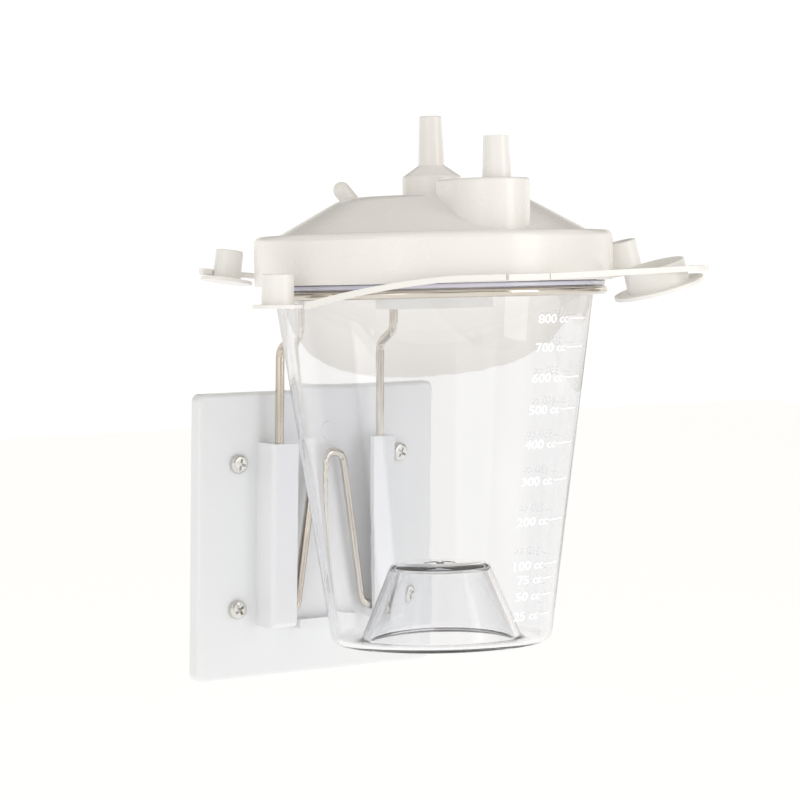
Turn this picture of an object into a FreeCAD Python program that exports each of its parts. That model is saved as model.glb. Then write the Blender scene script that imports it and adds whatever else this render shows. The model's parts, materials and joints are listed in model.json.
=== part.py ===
import FreeCAD, Part
import math
import os
import Sketcher

# Wall-mounted suction collection canister: a moulded wall plate, a bent wire bracket that
# drops into it, a clear tapered canister hanging in the ring, and a lid with its ports,
# overflow valve and four tethered caps.
#
# Frame: origin at the centre of the plate's back face, X right, Y into the wall, Z up.
# The canister, lid, straps and caps are drawn about the ring's own centre (their local
# origin, local Z along the canister axis) and placed by one common hanging placement.

doc = FreeCAD.newDocument("suction_canister")
dims = doc.addObject("Spreadsheet::Sheet", "Dims")

DRIVING_DIMENSIONS = (
    ("plate_side", 112.0, "wall plate, height and width"),
    ("plate_thick", 5.5, "wall plate thickness"),
    ("plate_corner", 3.0, "wall plate corner radius"),
    ("plate_round", 1.6, "round on the plate's front edge"),
    ("channel_out", 28.9, "outer face of a wire channel from the centre line"),
    ("channel_in", 17.4, "open inner side of a wire channel"),
    ("channel_front", 17.0, "front face of a wire channel from the wall"),
    ("channel_skin", 2.7, "front wall of a wire channel"),
    ("channel_side", 3.3, "outer side wall of a wire channel"),
    ("channel_top", 36.6, "top of the wire channels"),
    ("channel_foot", 35.5, "bottom of the wire channels, below centre"),
    ("channel_floor", 3.4, "floor thickness of a wire channel"),
    ("channel_round", 2.2, "round on the outer edges of a channel"),
    ("stop_half", 10.8, "half width of the stop bar between the channels"),
    ("stop_top", 34.2, "top of the stop bar, below centre"),
    ("stop_foot", 37.8, "bottom of the stop bar, below centre"),
    ("stop_proud", 4.0, "stop bar height above the plate"),
    ("boss_up", 38.0, "round boss above centre"),
    ("boss_width", 7.8, "round boss diameter"),
    ("boss_proud", 0.5, "round boss height above the plate"),
    ("screw_across", 76.0, "screw spacing across"),
    ("screw_up", 57.0, "screw spacing up"),
    ("screw_hole", 4.5, "clearance hole for a screw"),
    ("screw_shank", 3.8, "screw thread diameter, behind the plate"),
    ("screw_neck", 4.2, "plain neck under the screw head, inside the plate"),
    ("screw_point", 3.0, "length of the screw's point"),
    ("screw_head", 7.6, "screw head diameter"),
    ("screw_head_tall", 2.3, "screw head height"),
    ("screw_reach", 22.0, "screw length behind the plate"),
    ("cross_long", 4.4, "cross recess, tip to tip"),
    ("cross_wide", 1.0, "cross recess arm width"),
    ("cross_deep", 1.4, "cross recess depth"),
    ("wire_width", 3.5, "bracket wire diameter"),
    ("ring_radius", 63.0, "bracket ring, radius of the wire's centre"),
    ("ring_reach", 80.6, "ring centre from the wall"),
    ("ring_height", 97.9, "ring centre above the plate's centre"),
    ("ring_tilt", 3.5, "ring tilts up at its front, degrees"),
    ("leg_half", 23.4, "bracket leg from the centre line"),
    ("leg_reach", 12.4, "bracket leg from the wall"),
    ("jog_high", 79.0, "where the forward jog starts, above centre"),
    ("jog_low", 73.0, "where the forward jog ends, above centre"),
    ("hairpin_foot", 13.9, "hairpin's foot bend from the centre line"),
    ("hairpin_foot_reach", 11.2, "hairpin's foot bend from the wall"),
    ("hairpin_top", 4.9, "hairpin's top bend from the centre line"),
    ("hairpin_top_reach", 10.2, "hairpin's top bend from the wall"),
    ("hairpin_high", 30.4, "hairpin's top above centre"),
    ("ring_end", 6.5, "how far past a leg the ring's wire ends"),
    ("canister_mouth", 59.6, "canister outer radius at the ring"),
    ("canister_foot", 41.0, "canister outer radius at its bottom"),
    ("canister_deep", 130.9, "canister depth below the ring"),
    ("canister_wall", 2.0, "canister wall thickness"),
    ("canister_round", 4.5, "canister bottom edge radius"),
    ("canister_soft", 2.4, "round on the canister's inner bottom edges"),
    ("punt_top", 16.8, "radius of the raised cone in the bottom, at its top"),
    ("punt_base", 28.4, "radius of the raised cone at its base"),
    ("punt_tall", 27.9, "height of the raised cone"),
    ("flange_radius", 64.0, "canister flange radius"),
    ("flange_low", 1.85, "flange underside above the ring centre"),
    ("flange_high", 3.6, "flange top above the ring centre"),
    ("collar_radius", 60.6, "canister collar outer radius, above the flange"),
    ("collar_top", 17.3, "canister rim above the ring centre"),
    ("skirt_radius", 67.0, "lid skirt outer radius"),
    ("skirt_low", 3.75, "lid skirt bottom above the ring centre"),
    ("skirt_high", 22.2, "lid skirt top above the ring centre"),
    ("skirt_round", 2.6, "round on the lid's top edge"),
    ("lid_wall", 2.2, "lid wall thickness"),
    ("plug_radius", 57.5, "lid plug ring outer radius"),
    ("dome_base", 58.3, "dome radius where it leaves the lid's top"),
    ("dome_break", 33.3, "radius where the dome's slope meets its flat"),
    ("dome_high", 36.1, "flat top of the dome above the ring centre"),
    ("dome_round", 18.0, "round between the dome's slope and flat"),
    ("lid_turn", -8.5, "lid turned in the ring, degrees"),
    ("tall_base", 11.0, "tall port base radius"),
    ("tall_shoulder", 43.4, "tall port shoulder above the ring centre"),
    ("tall_neck", 47.6, "tall port nozzle root above the ring centre"),
    ("tall_tip", 66.0, "tall port tip above the ring centre"),
    ("tall_low_radius", 4.9, "tall nozzle radius at its root"),
    ("tall_tip_radius", 4.15, "tall nozzle radius at its tip"),
    ("port_bore", 2.6, "bore radius of both nozzles"),
    ("port_round", 0.7, "round on the tall port's shoulder and tip"),
    ("block_half", 15.0, "port block half width and front radius"),
    ("block_reach", 43.4, "centre of the block's round front from the axis"),
    ("block_back", 27.0, "flat back of the port block from the axis"),
    ("block_high", 41.0, "top of the port block above the ring centre"),
    ("block_corner", 6.0, "round on the port block's back corners"),
    ("block_round", 1.0, "round on the port block's top edge"),
    ("short_reach", 50.0, "short nozzle from the canister axis"),
    ("short_tip", 56.2, "short nozzle tip above the ring centre"),
    ("short_low_radius", 5.3, "short nozzle radius at its root"),
    ("short_tip_radius", 4.6, "short nozzle radius at its tip"),
    ("stub_radius", 3.2, "round-ended side stub radius"),
    ("stub_tall", 8.0, "side stub length below its round end"),
    ("stub_left", 23.5, "side stub's root, left of the axis"),
    ("stub_back", 17.5, "side stub's root, behind the axis"),
    ("stub_high", 33.0, "side stub's root above the ring centre"),
    ("strap_thick", 2.1, "strap thickness"),
    ("strap_low", 4.05, "underside of the straps and their lugs above the ring centre"),
    ("strap_level", 20.0, "angle from its root where a curved strap leaves the level, degrees"),
    ("strap_in", 68.2, "inner edge of the straps from the axis"),
    ("strap_out", 72.2, "outer edge of the straps from the axis"),
    ("root_half", 8.2, "strap root lug half width"),
    ("hinge_gap", 0.5, "gap at a strap's flexing line"),
    ("disc_thick", 1.3, "cap disc thickness"),
    ("cup_tall", 11.0, "cup height above its disc"),
    ("cup_clear", 0.6, "gap between a cup and the strap that returns round it"),
    ("wide_cup_tall", 8.2, "cup height of the widest cap"),
    ("small_disc", 9.2, "disc radius of the caps on the curved straps"),
    ("cap_reach", 77.0, "cap centre from the axis, on the curved straps"),
    ("cage_radius", 22.0, "valve cage outer radius"),
    ("cage_wall", 1.6, "valve cage wall"),
    ("cage_low", -6.0, "valve cage bottom"),
    ("cage_high", 30.0, "valve cage top"),
    ("cage_mouth", 8.0, "radius of the hole in the cage's floor"),
    ("seat_hole", 4.0, "radius of the hole in the valve seat"),
    ("seat_thick", 1.4, "valve seat thickness"),
    ("window_half", 4.5, "half width of a cage window"),
    ("spigot_wall", 1.6, "wall of the lid's ring that holds the cage"),
    ("spigot_gap", 0.1, "fit between that ring and the cage"),
    ("seat_low", 25.0, "underside of the valve seat"),
    ("float_radius", 17.5, "shut-off float radius"),
    ("float_low", -4.0, "shut-off float bottom"),
    ("float_high", 12.0, "shut-off float shoulder"),
    ("float_wall", 1.6, "shut-off float wall"),
    ("float_stem", 3.6, "radius of the float's stem, half way up"),
    ("seal_radius", 7.5, "radius of the float's seal"),
    ("seal_low", 17.0, "underside of the float's seal"),
    ("seal_high", 19.0, "top of the float's seal"),
    ("filter_low", 35.2, "filter disc underside"),
    ("filter_high", 37.4, "filter disc top"),
    ("filter_radius", 8.6, "filter disc radius"),
)

for row, (alias, number, note) in enumerate(DRIVING_DIMENSIONS, start=1):
    dims.set(f"A{row}", note)
    dims.set(f"B{row}", str(number))
    dims.setAlias(f"B{row}", alias)
doc.recompute()


class Size:
    """A length or angle that carries its value and the sheet formula that drives it."""

    def __init__(self, value, formula):
        self.value = value
        self.formula = formula

    def __add__(self, other):
        other = as_size(other)
        return Size(self.value + other.value, f"({self.formula} + {other.formula})")

    def __sub__(self, other):
        other = as_size(other)
        return Size(self.value - other.value, f"({self.formula} - {other.formula})")

    def __mul__(self, factor):
        return Size(self.value * factor, f"({self.formula} * {factor})")

    def __truediv__(self, divisor):
        return Size(self.value / divisor, f"({self.formula} / {divisor})")

    def __neg__(self):
        return Size(-self.value, f"(0 - {self.formula})")


def as_size(number):
    """Wrap a bare number so that it can stand in a formula."""
    return number if isinstance(number, Size) else Size(float(number), str(float(number)))


def size(alias):
    """The named driving dimension, as a Size."""
    return Size(float(dims.get(alias)), f"Dims.{alias}")


def value(alias):
    """The named driving dimension, as a plain number."""
    return float(dims.get(alias))


def settle(feature):
    """Recompute, and stop at once if the feature did not come out."""
    doc.recompute()
    if "Invalid" in feature.State or "Error" in feature.State or feature.Shape.isNull():
        raise RuntimeError(f"{feature.Name} did not recompute: {feature.getStatusString()}")
    return feature


def new_body(label):
    """An empty body whose label is also its file name."""
    body = doc.addObject("PartDesign::Body", label)
    body.Label = label
    return body


def new_sketch(body, name, role):
    """A sketch on one of the body's own origin planes."""
    sketch = body.newObject("Sketcher::SketchObject", name)
    plane = next(item for item in body.Origin.OriginFeatures if item.Role == role)
    sketch.AttachmentSupport = [(plane, "")]
    sketch.MapMode = "FlatFace"
    return sketch


def hold(sketch, kind, geometry, point, length):
    """Hold one coordinate of a sketch point at a sheet formula."""
    length = as_size(length)
    if abs(length.value) < 1e-9:
        axis = -2 if kind == "DistanceX" else -1
        sketch.addConstraint(Sketcher.Constraint("PointOnObject", geometry, point, axis))
        return
    index = sketch.addConstraint(Sketcher.Constraint(kind, -1, 1, geometry, point, length.value))
    sketch.setExpression(f"Constraints[{index}]", length.formula)


def outline(sketch, corners):
    """Draw a closed outline of straight lines through corners held by sheet formulas."""
    points = [FreeCAD.Vector(as_size(a).value, as_size(b).value, 0) for a, b in corners]
    first = sketch.GeometryCount
    count = len(points)
    for index in range(count):
        end = points[(index + 1) % count]
        sketch.addGeometry(Part.LineSegment(points[index], end), False)
    for index in range(count):
        follower = first + (index + 1) % count
        sketch.addConstraint(Sketcher.Constraint("Coincident", first + index, 2, follower, 1))
    for index, (across, up) in enumerate(corners):
        hold(sketch, "DistanceX", first + index, 1, across)
        hold(sketch, "DistanceY", first + index, 1, up)


def rectangle(sketch, left, right, low, high):
    """Draw a rectangle between four sheet formulas."""
    outline(sketch, [(left, low), (right, low), (right, high), (left, high)])


def circle(sketch, across, up, radius):
    """Draw a circle whose centre and radius are held by sheet formulas."""
    radius = as_size(radius)
    centre = FreeCAD.Vector(as_size(across).value, as_size(up).value, 0)
    normal = FreeCAD.Vector(0, 0, 1)
    geometry = sketch.addGeometry(Part.Circle(centre, normal, radius.value), False)
    hold(sketch, "DistanceX", geometry, 3, across)
    hold(sketch, "DistanceY", geometry, 3, up)
    index = sketch.addConstraint(Sketcher.Constraint("Radius", geometry, radius.value))
    sketch.setExpression(f"Constraints[{index}]", radius.formula)


def pad(body, sketch, name, length):
    """Add material by a straight pad."""
    feature = body.newObject("PartDesign::Pad", name)
    feature.Profile = sketch
    feature.Length = as_size(length).value
    feature.setExpression("Length", as_size(length).formula)
    return settle(feature)


def cut(body, sketch, name, length, reverse=False):
    """Remove material by a pocket, and check that it does cut."""
    before = body.Shape.Volume
    feature = body.newObject("PartDesign::Pocket", name)
    feature.Profile = sketch
    feature.Reversed = reverse
    feature.Length = as_size(length).value
    feature.setExpression("Length", as_size(length).formula)
    settle(feature)
    if body.Shape.Volume > before - 1e-3:
        raise RuntimeError(f"{name} removes nothing")
    return feature


def revolve(body, sketch, name, subtract=False):
    """Turn a sketch about the local Z axis, as material or as a cut."""
    before = body.Shape.Volume if subtract else 0.0
    kind = "PartDesign::Groove" if subtract else "PartDesign::Revolution"
    feature = body.newObject(kind, name)
    feature.Profile = sketch
    feature.ReferenceAxis = (sketch, ["V_Axis"])
    feature.Angle = 360.0
    settle(feature)
    if subtract and body.Shape.Volume > before - 1e-3:
        raise RuntimeError(f"{name} removes nothing")
    return feature


def fillet(body, base, name, radius, wanted):
    """Round the edges of base that the test picks out."""
    edges = [f"Edge{n}" for n, edge in enumerate(base.Shape.Edges, start=1) if wanted(edge)]
    if not edges:
        raise RuntimeError(f"{name} finds no edge")
    feature = body.newObject("PartDesign::Fillet", name)
    feature.Base = (base, edges)
    feature.Radius = as_size(radius).value
    feature.setExpression("Radius", as_size(radius).formula)
    return settle(feature)


def is_ring(edge, radius, height):
    """True for a full circle about the local Z axis at this radius and height."""
    curve = edge.Curve
    if not isinstance(curve, Part.Circle) or abs(curve.Radius - radius) > 0.02:
        return False
    centre = curve.Center
    return math.hypot(centre.x, centre.y) < 0.02 and abs(centre.z - height) < 0.02


def turn_about(point, axis, degrees):
    """A placement that turns by an angle about an axis through a point."""
    rotation = FreeCAD.Rotation(axis, degrees)
    return FreeCAD.Placement(FreeCAD.Vector(0, 0, 0), rotation, point)


X_AXIS = FreeCAD.Vector(1, 0, 0)
Y_AXIS = FreeCAD.Vector(0, 1, 0)
Z_AXIS = FreeCAD.Vector(0, 0, 1)
RING_CENTRE = FreeCAD.Vector(0, -value("ring_reach"), value("ring_height"))
HANG = FreeCAD.Placement(RING_CENTRE, FreeCAD.Rotation(X_AXIS, -value("ring_tilt")))
LID_HANG = HANG * FreeCAD.Placement(
    FreeCAD.Vector(0, 0, 0), FreeCAD.Rotation(Z_AXIS, value("lid_turn"))
)


# ---------------------------------------------------------------------------
# Wall plate: a square moulded plate with two channels that are open at their
# tops and inner sides, a stop bar below, a small boss above and four holes.
# ---------------------------------------------------------------------------
wall_plate = new_body("wall_plate")
half_plate = size("plate_side") / 2
face = new_sketch(wall_plate, "PlateFace", "XZ_Plane")
rectangle(face, -half_plate, half_plate, -half_plate, half_plate)
slab = pad(wall_plate, face, "PlateSlab", size("plate_thick"))


def is_plate_corner(edge):
    """True for the four short edges through the plate's thickness."""
    box = edge.BoundBox
    return box.YLength > 1.0 and box.XLength < 0.01 and box.ZLength < 0.01


corners = fillet(wall_plate, slab, "PlateCorners", size("plate_corner"), is_plate_corner)


def is_front_rim(edge):
    """True for the edges round the plate's front face."""
    box = edge.BoundBox
    return abs(box.YMax + value("plate_thick")) < 0.01 and box.YLength < 0.01


fillet(wall_plate, corners, "PlateRim", size("plate_round"), is_front_rim)

for side, name in ((-1, "Left"), (1, "Right")):
    block = new_sketch(wall_plate, f"{name}ChannelBlock", "XZ_Plane")
    near = size("channel_in") * side
    far = size("channel_out") * side
    left, right = (near, far) if side > 0 else (far, near)
    rectangle(block, left, right, -size("channel_foot"), size("channel_top"))
    solid = pad(wall_plate, block, f"{name}Channel", size("channel_front"))

    def is_channel_edge(edge, outer=far.value):
        """True for the channel's long outer front edge and its front bottom edge."""
        box = edge.BoundBox
        at_front = abs(box.YMax + value("channel_front")) < 0.01 and box.YLength < 0.01
        long_edge = box.ZLength > 20.0 and abs(box.XMin - outer) < 0.01
        low_edge = abs(box.ZMax + value("channel_foot")) < 0.01 and abs(box.Center.x - outer) < 12.0
        return at_front and (long_edge or low_edge)

    fillet(wall_plate, solid, f"{name}ChannelRound", size("channel_round"), is_channel_edge)

for side, name in ((-1, "Left"), (1, "Right")):
    hollow = new_sketch(wall_plate, f"{name}ChannelSlot", "XY_Plane")
    near = (size("channel_in") - 1.0) * side
    far = (size("channel_out") - size("channel_side")) * side
    left, right = (near, far) if side > 0 else (far, near)
    front = -(size("channel_front") - size("channel_skin"))
    rectangle(hollow, left, right, front, -size("plate_thick"))
    hollow.AttachmentOffset = FreeCAD.Placement(
        FreeCAD.Vector(0, 0, value("channel_floor") - value("channel_foot")), FreeCAD.Rotation()
    )
    hollow.setExpression("AttachmentOffset.Base.z", "Dims.channel_floor - Dims.channel_foot")
    slot_tall = size("channel_foot") + size("channel_top") + 1.0
    cut(wall_plate, hollow, f"{name}Slot", slot_tall, reverse=True)

bar = new_sketch(wall_plate, "StopBarFace", "XZ_Plane")
rectangle(bar, -size("stop_half"), size("stop_half"), -size("stop_foot"), -size("stop_top"))
pad(wall_plate, bar, "StopBar", size("plate_thick") + size("stop_proud"))

boss = new_sketch(wall_plate, "BossFace", "XZ_Plane")
circle(boss, 0, size("boss_up"), size("boss_width") / 2)
pad(wall_plate, boss, "Boss", size("plate_thick") + size("boss_proud"))

holes = new_sketch(wall_plate, "ScrewHoles", "XZ_Plane")
for across in (-1, 1):
    for up in (-1, 1):
        centre_x = size("screw_across") * (0.5 * across)
        centre_z = size("screw_up") * (0.5 * up)
        circle(holes, centre_x, centre_z, size("screw_hole") / 2)
cut(wall_plate, holes, "ScrewHoleCut", size("plate_thick") + 1.0, reverse=True)


# ---------------------------------------------------------------------------
# Plate screws: four pan-head cross-recess screws, heads on the plate's face.
# ---------------------------------------------------------------------------
def pan_screw():
    """One screw along +Y with its head's underside on the plane Y = 0."""
    head_radius = value("screw_head") / 2
    head_tall = value("screw_head_tall")
    neck_tall = value("plate_thick")
    thread_tall = value("screw_reach") - value("screw_point")
    thread_radius = value("screw_shank") / 2
    head = Part.makeCylinder(head_radius, head_tall, FreeCAD.Vector(0, 0, 0), -Y_AXIS)
    rim = [edge for edge in head.Edges if abs(edge.BoundBox.YMax + head_tall) < 0.01]
    head = head.makeFillet(head_tall * 0.6, rim)
    neck = Part.makeCylinder(
        value("screw_neck") / 2, neck_tall, FreeCAD.Vector(0, 0, 0), Y_AXIS
    )
    thread_at = FreeCAD.Vector(0, neck_tall, 0)
    thread = Part.makeCylinder(thread_radius, thread_tall, thread_at, Y_AXIS)
    point_at = FreeCAD.Vector(0, neck_tall + thread_tall, 0)
    point = Part.makeCone(thread_radius, 0.3, value("screw_point"), point_at, Y_AXIS)
    screw = head.fuse([neck, thread, point]).removeSplitter()
    arm = value("cross_long")
    wide = value("cross_wide")
    for length, width in ((arm, wide), (wide, arm)):
        corner = FreeCAD.Vector(-length / 2, -head_tall - 0.1, -width / 2)
        slot = Part.makeBox(length, value("cross_deep") + 0.1, width, corner)
        screw = screw.cut(slot)
    return screw


def all_screws():
    """The four screws in one compound, each turned a little differently."""
    screws = []
    quarter_turns = iter((12.0, 55.0, 30.0, 71.0))
    for across in (-1, 1):
        for up in (1, -1):
            screw = pan_screw()
            screw.rotate(FreeCAD.Vector(0, 0, 0), Y_AXIS, next(quarter_turns))
            half_x = value("screw_across") / 2
            half_z = value("screw_up") / 2
            screw.translate(FreeCAD.Vector(across * half_x, -value("plate_thick"), up * half_z))
            screws.append(screw)
    return Part.makeCompound(screws)


plate_screws = doc.addObject("Part::Feature", "plate_screws")
plate_screws.Label = "plate_screws"
plate_screws.Shape = all_screws()


# ---------------------------------------------------------------------------
# Wire bracket: one length of wire. A hairpin between the channels, a U-bend
# into each channel, two legs, a forward jog, and the ring, open at its back.
# ---------------------------------------------------------------------------
def rounded_edges(points, radii):
    """Straight runs joined by tangent arcs; radii belong to the inner points."""
    edges = []
    start = points[0]
    for before, corner, after, radius in zip(points, points[1:], points[2:], radii):
        towards = (before - corner).normalize()
        onwards = (after - corner).normalize()
        half_angle = towards.getAngle(onwards) / 2
        setback = radius / math.tan(half_angle)
        first = corner + towards * setback
        last = corner + onwards * setback
        bisector = (towards + onwards).normalize()
        centre = corner + bisector * (radius / math.sin(half_angle))
        middle = centre - bisector * radius
        edges.append(Part.LineSegment(start, first).toShape())
        edges.append(Part.Arc(first, middle, last).toShape())
        start = last
    edges.append(Part.LineSegment(start, points[-1]).toShape())
    return edges


def bracket_wire():
    """The centre line of the wire, from one end of the ring round to the other."""
    ring_radius = value("ring_radius")
    leg_x = value("leg_half")
    leg_y = -value("leg_reach")
    u_low = value("channel_floor") - value("channel_foot") + value("wire_width") / 2 + 0.25
    open_angle = math.asin((leg_x + value("ring_end")) / ring_radius)
    end = FreeCAD.Vector(
        ring_radius * math.sin(open_angle), ring_radius * math.cos(open_angle), 0
    )
    run_in = FreeCAD.Vector(-math.cos(open_angle), math.sin(open_angle), 0)
    bend_at = end + run_in * ((end.x - leg_x) / math.cos(open_angle))
    front = FreeCAD.Vector(0, -ring_radius, 0)
    ring_end = HANG.multVec(end)
    stub_top = HANG.multVec(bend_at)
    right = [
        ring_end,
        stub_top,
        FreeCAD.Vector(leg_x, stub_top.y, value("jog_high")),
        FreeCAD.Vector(leg_x, leg_y, value("jog_low")),
        FreeCAD.Vector(leg_x, leg_y, u_low),
        FreeCAD.Vector(value("hairpin_foot"), -value("hairpin_foot_reach"), u_low),
        FreeCAD.Vector(value("hairpin_top"), -value("hairpin_top_reach"), value("hairpin_high")),
    ]
    radii = [4.5, 5.0, 5.0, 4.2, 4.2, 4.4]
    left = [FreeCAD.Vector(-point.x, point.y, point.z) for point in reversed(right)]
    path = rounded_edges(right + left, radii + radii[::-1])
    left_end = FreeCAD.Vector(-ring_end.x, ring_end.y, ring_end.z)
    ring = Part.Arc(left_end, HANG.multVec(front), ring_end).toShape()
    return Part.Wire(path), Part.Wire([ring])


def wire_solid():
    """Sweep the wire's round section along the legs and along the ring."""
    legs, ring = bracket_wire()
    start = legs.Edges[0].Vertexes[0].Point
    along = legs.Edges[0].tangentAt(legs.Edges[0].FirstParameter)
    section = Part.Wire(Part.Circle(start, along, value("wire_width") / 2).toShape())
    leg_tube = legs.makePipeShell([section], True, False, 2)
    ring_tube = Part.makeTorus(
        value("ring_radius"), value("wire_width") / 2, FreeCAD.Vector(0, 0, 0), Z_AXIS, -180, 180
    )
    reach = value("ring_radius") * 2
    end_x = value("leg_half") + value("ring_end")
    half_open = math.degrees(math.asin(end_x / value("ring_radius")))
    wedge = Part.makeCylinder(reach, 20.0, FreeCAD.Vector(0, 0, -10), Z_AXIS, 2 * half_open)
    wedge.rotate(FreeCAD.Vector(0, 0, 0), Z_AXIS, 90.0 - half_open)
    ring_tube = ring_tube.cut(wedge)
    ring_tube.Placement = HANG
    return leg_tube.fuse(ring_tube).removeSplitter()


wire_bracket = doc.addObject("Part::Feature", "wire_bracket")
wire_bracket.Label = "wire_bracket"
wire_bracket.Shape = wire_solid()


# ---------------------------------------------------------------------------
# Canister: a clear tapered cup with a raised cone in its bottom, a flange
# that rests on the ring, and a collar that the lid closes.
# ---------------------------------------------------------------------------
canister = new_body("canister")
bottom = -size("canister_deep")
wall = size("canister_wall")
cup = new_sketch(canister, "CupProfile", "XZ_Plane")
outline(cup, [
    (0, bottom + size("punt_tall")),
    (size("punt_top"), bottom + size("punt_tall")),
    (size("punt_base"), bottom),
    (size("canister_foot"), bottom),
    (size("canister_mouth"), 0),
    (size("canister_mouth"), size("flange_low")),
    (size("flange_radius"), size("flange_low")),
    (size("flange_radius"), size("flange_high")),
    (size("collar_radius"), size("flange_high")),
    (size("collar_radius"), size("collar_top")),
    (size("collar_radius") - wall * 1.15, size("collar_top")),
    (size("canister_mouth") - wall, 0),
    (size("canister_foot") - wall, bottom + wall),
    (size("punt_base") + wall * 0.9, bottom + wall),
    (size("punt_top") + wall * 0.7, bottom + size("punt_tall") + wall),
    (0, bottom + size("punt_tall") + wall),
])
cup_turned = revolve(canister, cup, "CupBody")


def is_cup_foot(edge):
    """True for the outer bottom edge."""
    return is_ring(edge, value("canister_foot"), -value("canister_deep"))


foot = fillet(canister, cup_turned, "CupFoot", size("canister_round"), is_cup_foot)


def is_soft_cup_edge(edge):
    """True for the inner bottom edge and both edges of the raised cone's top."""
    low = -value("canister_deep")
    thick = value("canister_wall")
    tall = value("punt_tall")
    return (
        is_ring(edge, value("canister_foot") - thick, low + thick)
        or is_ring(edge, value("punt_top") + thick * 0.7, low + tall + thick)
        or is_ring(edge, value("punt_top"), low + tall)
    )


fillet(canister, foot, "CupSoftEdges", size("canister_soft"), is_soft_cup_edge)
canister.Placement = HANG


# ---------------------------------------------------------------------------
# Lid: skirt, sloped dome, central tall port, front port block with its
# nozzle, a round-ended stub, a plug ring inside and two strap root lugs.
# ---------------------------------------------------------------------------
lid = new_body("lid")
cover = new_sketch(lid, "CoverProfile", "XZ_Plane")
outline(cover, [
    (0, size("skirt_low")),
    (size("skirt_radius"), size("skirt_low")),
    (size("skirt_radius"), size("skirt_high")),
    (size("dome_base"), size("skirt_high")),
    (size("dome_break"), size("dome_high")),
    (size("tall_base"), size("dome_high")),
    (size("tall_base"), size("tall_shoulder")),
    (size("tall_low_radius"), size("tall_neck")),
    (size("tall_tip_radius"), size("tall_tip")),
    (0, size("tall_tip")),
])
cover_turned = revolve(lid, cover, "CoverBody")


def is_dome_break(edge):
    """True for the edge between the dome's slope and its flat."""
    return is_ring(edge, value("dome_break"), value("dome_high"))


dome_soft = fillet(lid, cover_turned, "DomeRound", size("dome_round"), is_dome_break)


def is_skirt_top(edge):
    """True for the lid's top outer edge."""
    return is_ring(edge, value("skirt_radius"), value("skirt_high"))


skirt_soft = fillet(lid, dome_soft, "SkirtRound", size("skirt_round"), is_skirt_top)


def is_port_edge(edge):
    """True for the tall port's shoulder and tip edges."""
    return (
        is_ring(edge, value("tall_base"), value("tall_shoulder"))
        or is_ring(edge, value("tall_tip_radius"), value("tall_tip"))
    )


fillet(lid, skirt_soft, "TallPortRound", size("port_round"), is_port_edge)


def block_outline(sketch, inset):
    """Draw the port block's plan: a round front and a flat back, drawn in by inset."""
    half = size("block_half") - inset
    reach = -size("block_reach")
    back = -(size("block_back") + inset)
    left = FreeCAD.Vector(-half.value, reach.value, 0)
    right = FreeCAD.Vector(half.value, reach.value, 0)
    nose = FreeCAD.Vector(0, reach.value - half.value, 0)
    back_left = FreeCAD.Vector(-half.value, back.value, 0)
    back_right = FreeCAD.Vector(half.value, back.value, 0)
    front = sketch.addGeometry(Part.Arc(left, nose, right), False)
    east = sketch.addGeometry(Part.LineSegment(right, back_right), False)
    rear = sketch.addGeometry(Part.LineSegment(back_right, back_left), False)
    west = sketch.addGeometry(Part.LineSegment(back_left, left), False)
    sketch.addConstraint(Sketcher.Constraint("Coincident", front, 2, east, 1))
    sketch.addConstraint(Sketcher.Constraint("Coincident", east, 2, rear, 1))
    sketch.addConstraint(Sketcher.Constraint("Coincident", rear, 2, west, 1))
    sketch.addConstraint(Sketcher.Constraint("Coincident", west, 2, front, 1))
    hold(sketch, "DistanceX", east, 1, half)
    hold(sketch, "DistanceY", east, 1, reach)
    hold(sketch, "DistanceX", east, 2, half)
    hold(sketch, "DistanceY", east, 2, back)
    hold(sketch, "DistanceX", west, 1, -half)
    hold(sketch, "DistanceY", west, 1, back)
    hold(sketch, "DistanceX", west, 2, -half)
    hold(sketch, "DistanceY", west, 2, reach)
    hold(sketch, "DistanceY", front, 3, reach)


def lift_sketch(sketch, height):
    """Raise a sketch above its plane to a sheet formula."""
    height = as_size(height)
    sketch.AttachmentOffset = FreeCAD.Placement(
        FreeCAD.Vector(0, 0, height.value), FreeCAD.Rotation()
    )
    sketch.setExpression("AttachmentOffset.Base.z", height.formula)


block_plan = new_sketch(lid, "BlockPlan", "XY_Plane")
block_outline(block_plan, 0)
block_start = size("skirt_high") - 1.5
lift_sketch(block_plan, block_start)
block_pad = pad(lid, block_plan, "PortBlock", size("block_high") - block_start)


def is_block_corner(edge):
    """True for the two upright edges at the back of the port block."""
    box = edge.BoundBox
    at_back = abs(box.Center.y + value("block_back")) < 0.05
    at_side = abs(abs(box.Center.x) - value("block_half")) < 0.05
    return at_back and at_side and box.ZLength > 1.0


block_corners = fillet(lid, block_pad, "BlockCorners", size("block_corner"), is_block_corner)


def is_block_top(edge):
    """True for the edges round the block's top face."""
    box = edge.BoundBox
    return abs(box.ZMin - value("block_high")) < 0.01 and abs(box.ZMax - value("block_high")) < 0.01


fillet(lid, block_corners, "BlockTop", size("block_round"), is_block_top)

short_nozzle = lid.newObject("PartDesign::AdditiveCone", "ShortNozzle")
short_nozzle.setExpression("Radius1", "Dims.short_low_radius")
short_nozzle.setExpression("Radius2", "Dims.short_tip_radius")
short_nozzle.setExpression("Height", "Dims.short_tip - Dims.block_high + 0.5")
short_nozzle.Placement.Base = FreeCAD.Vector(
    0, -value("short_reach"), value("block_high") - 0.5
)
doc.recompute()

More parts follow.
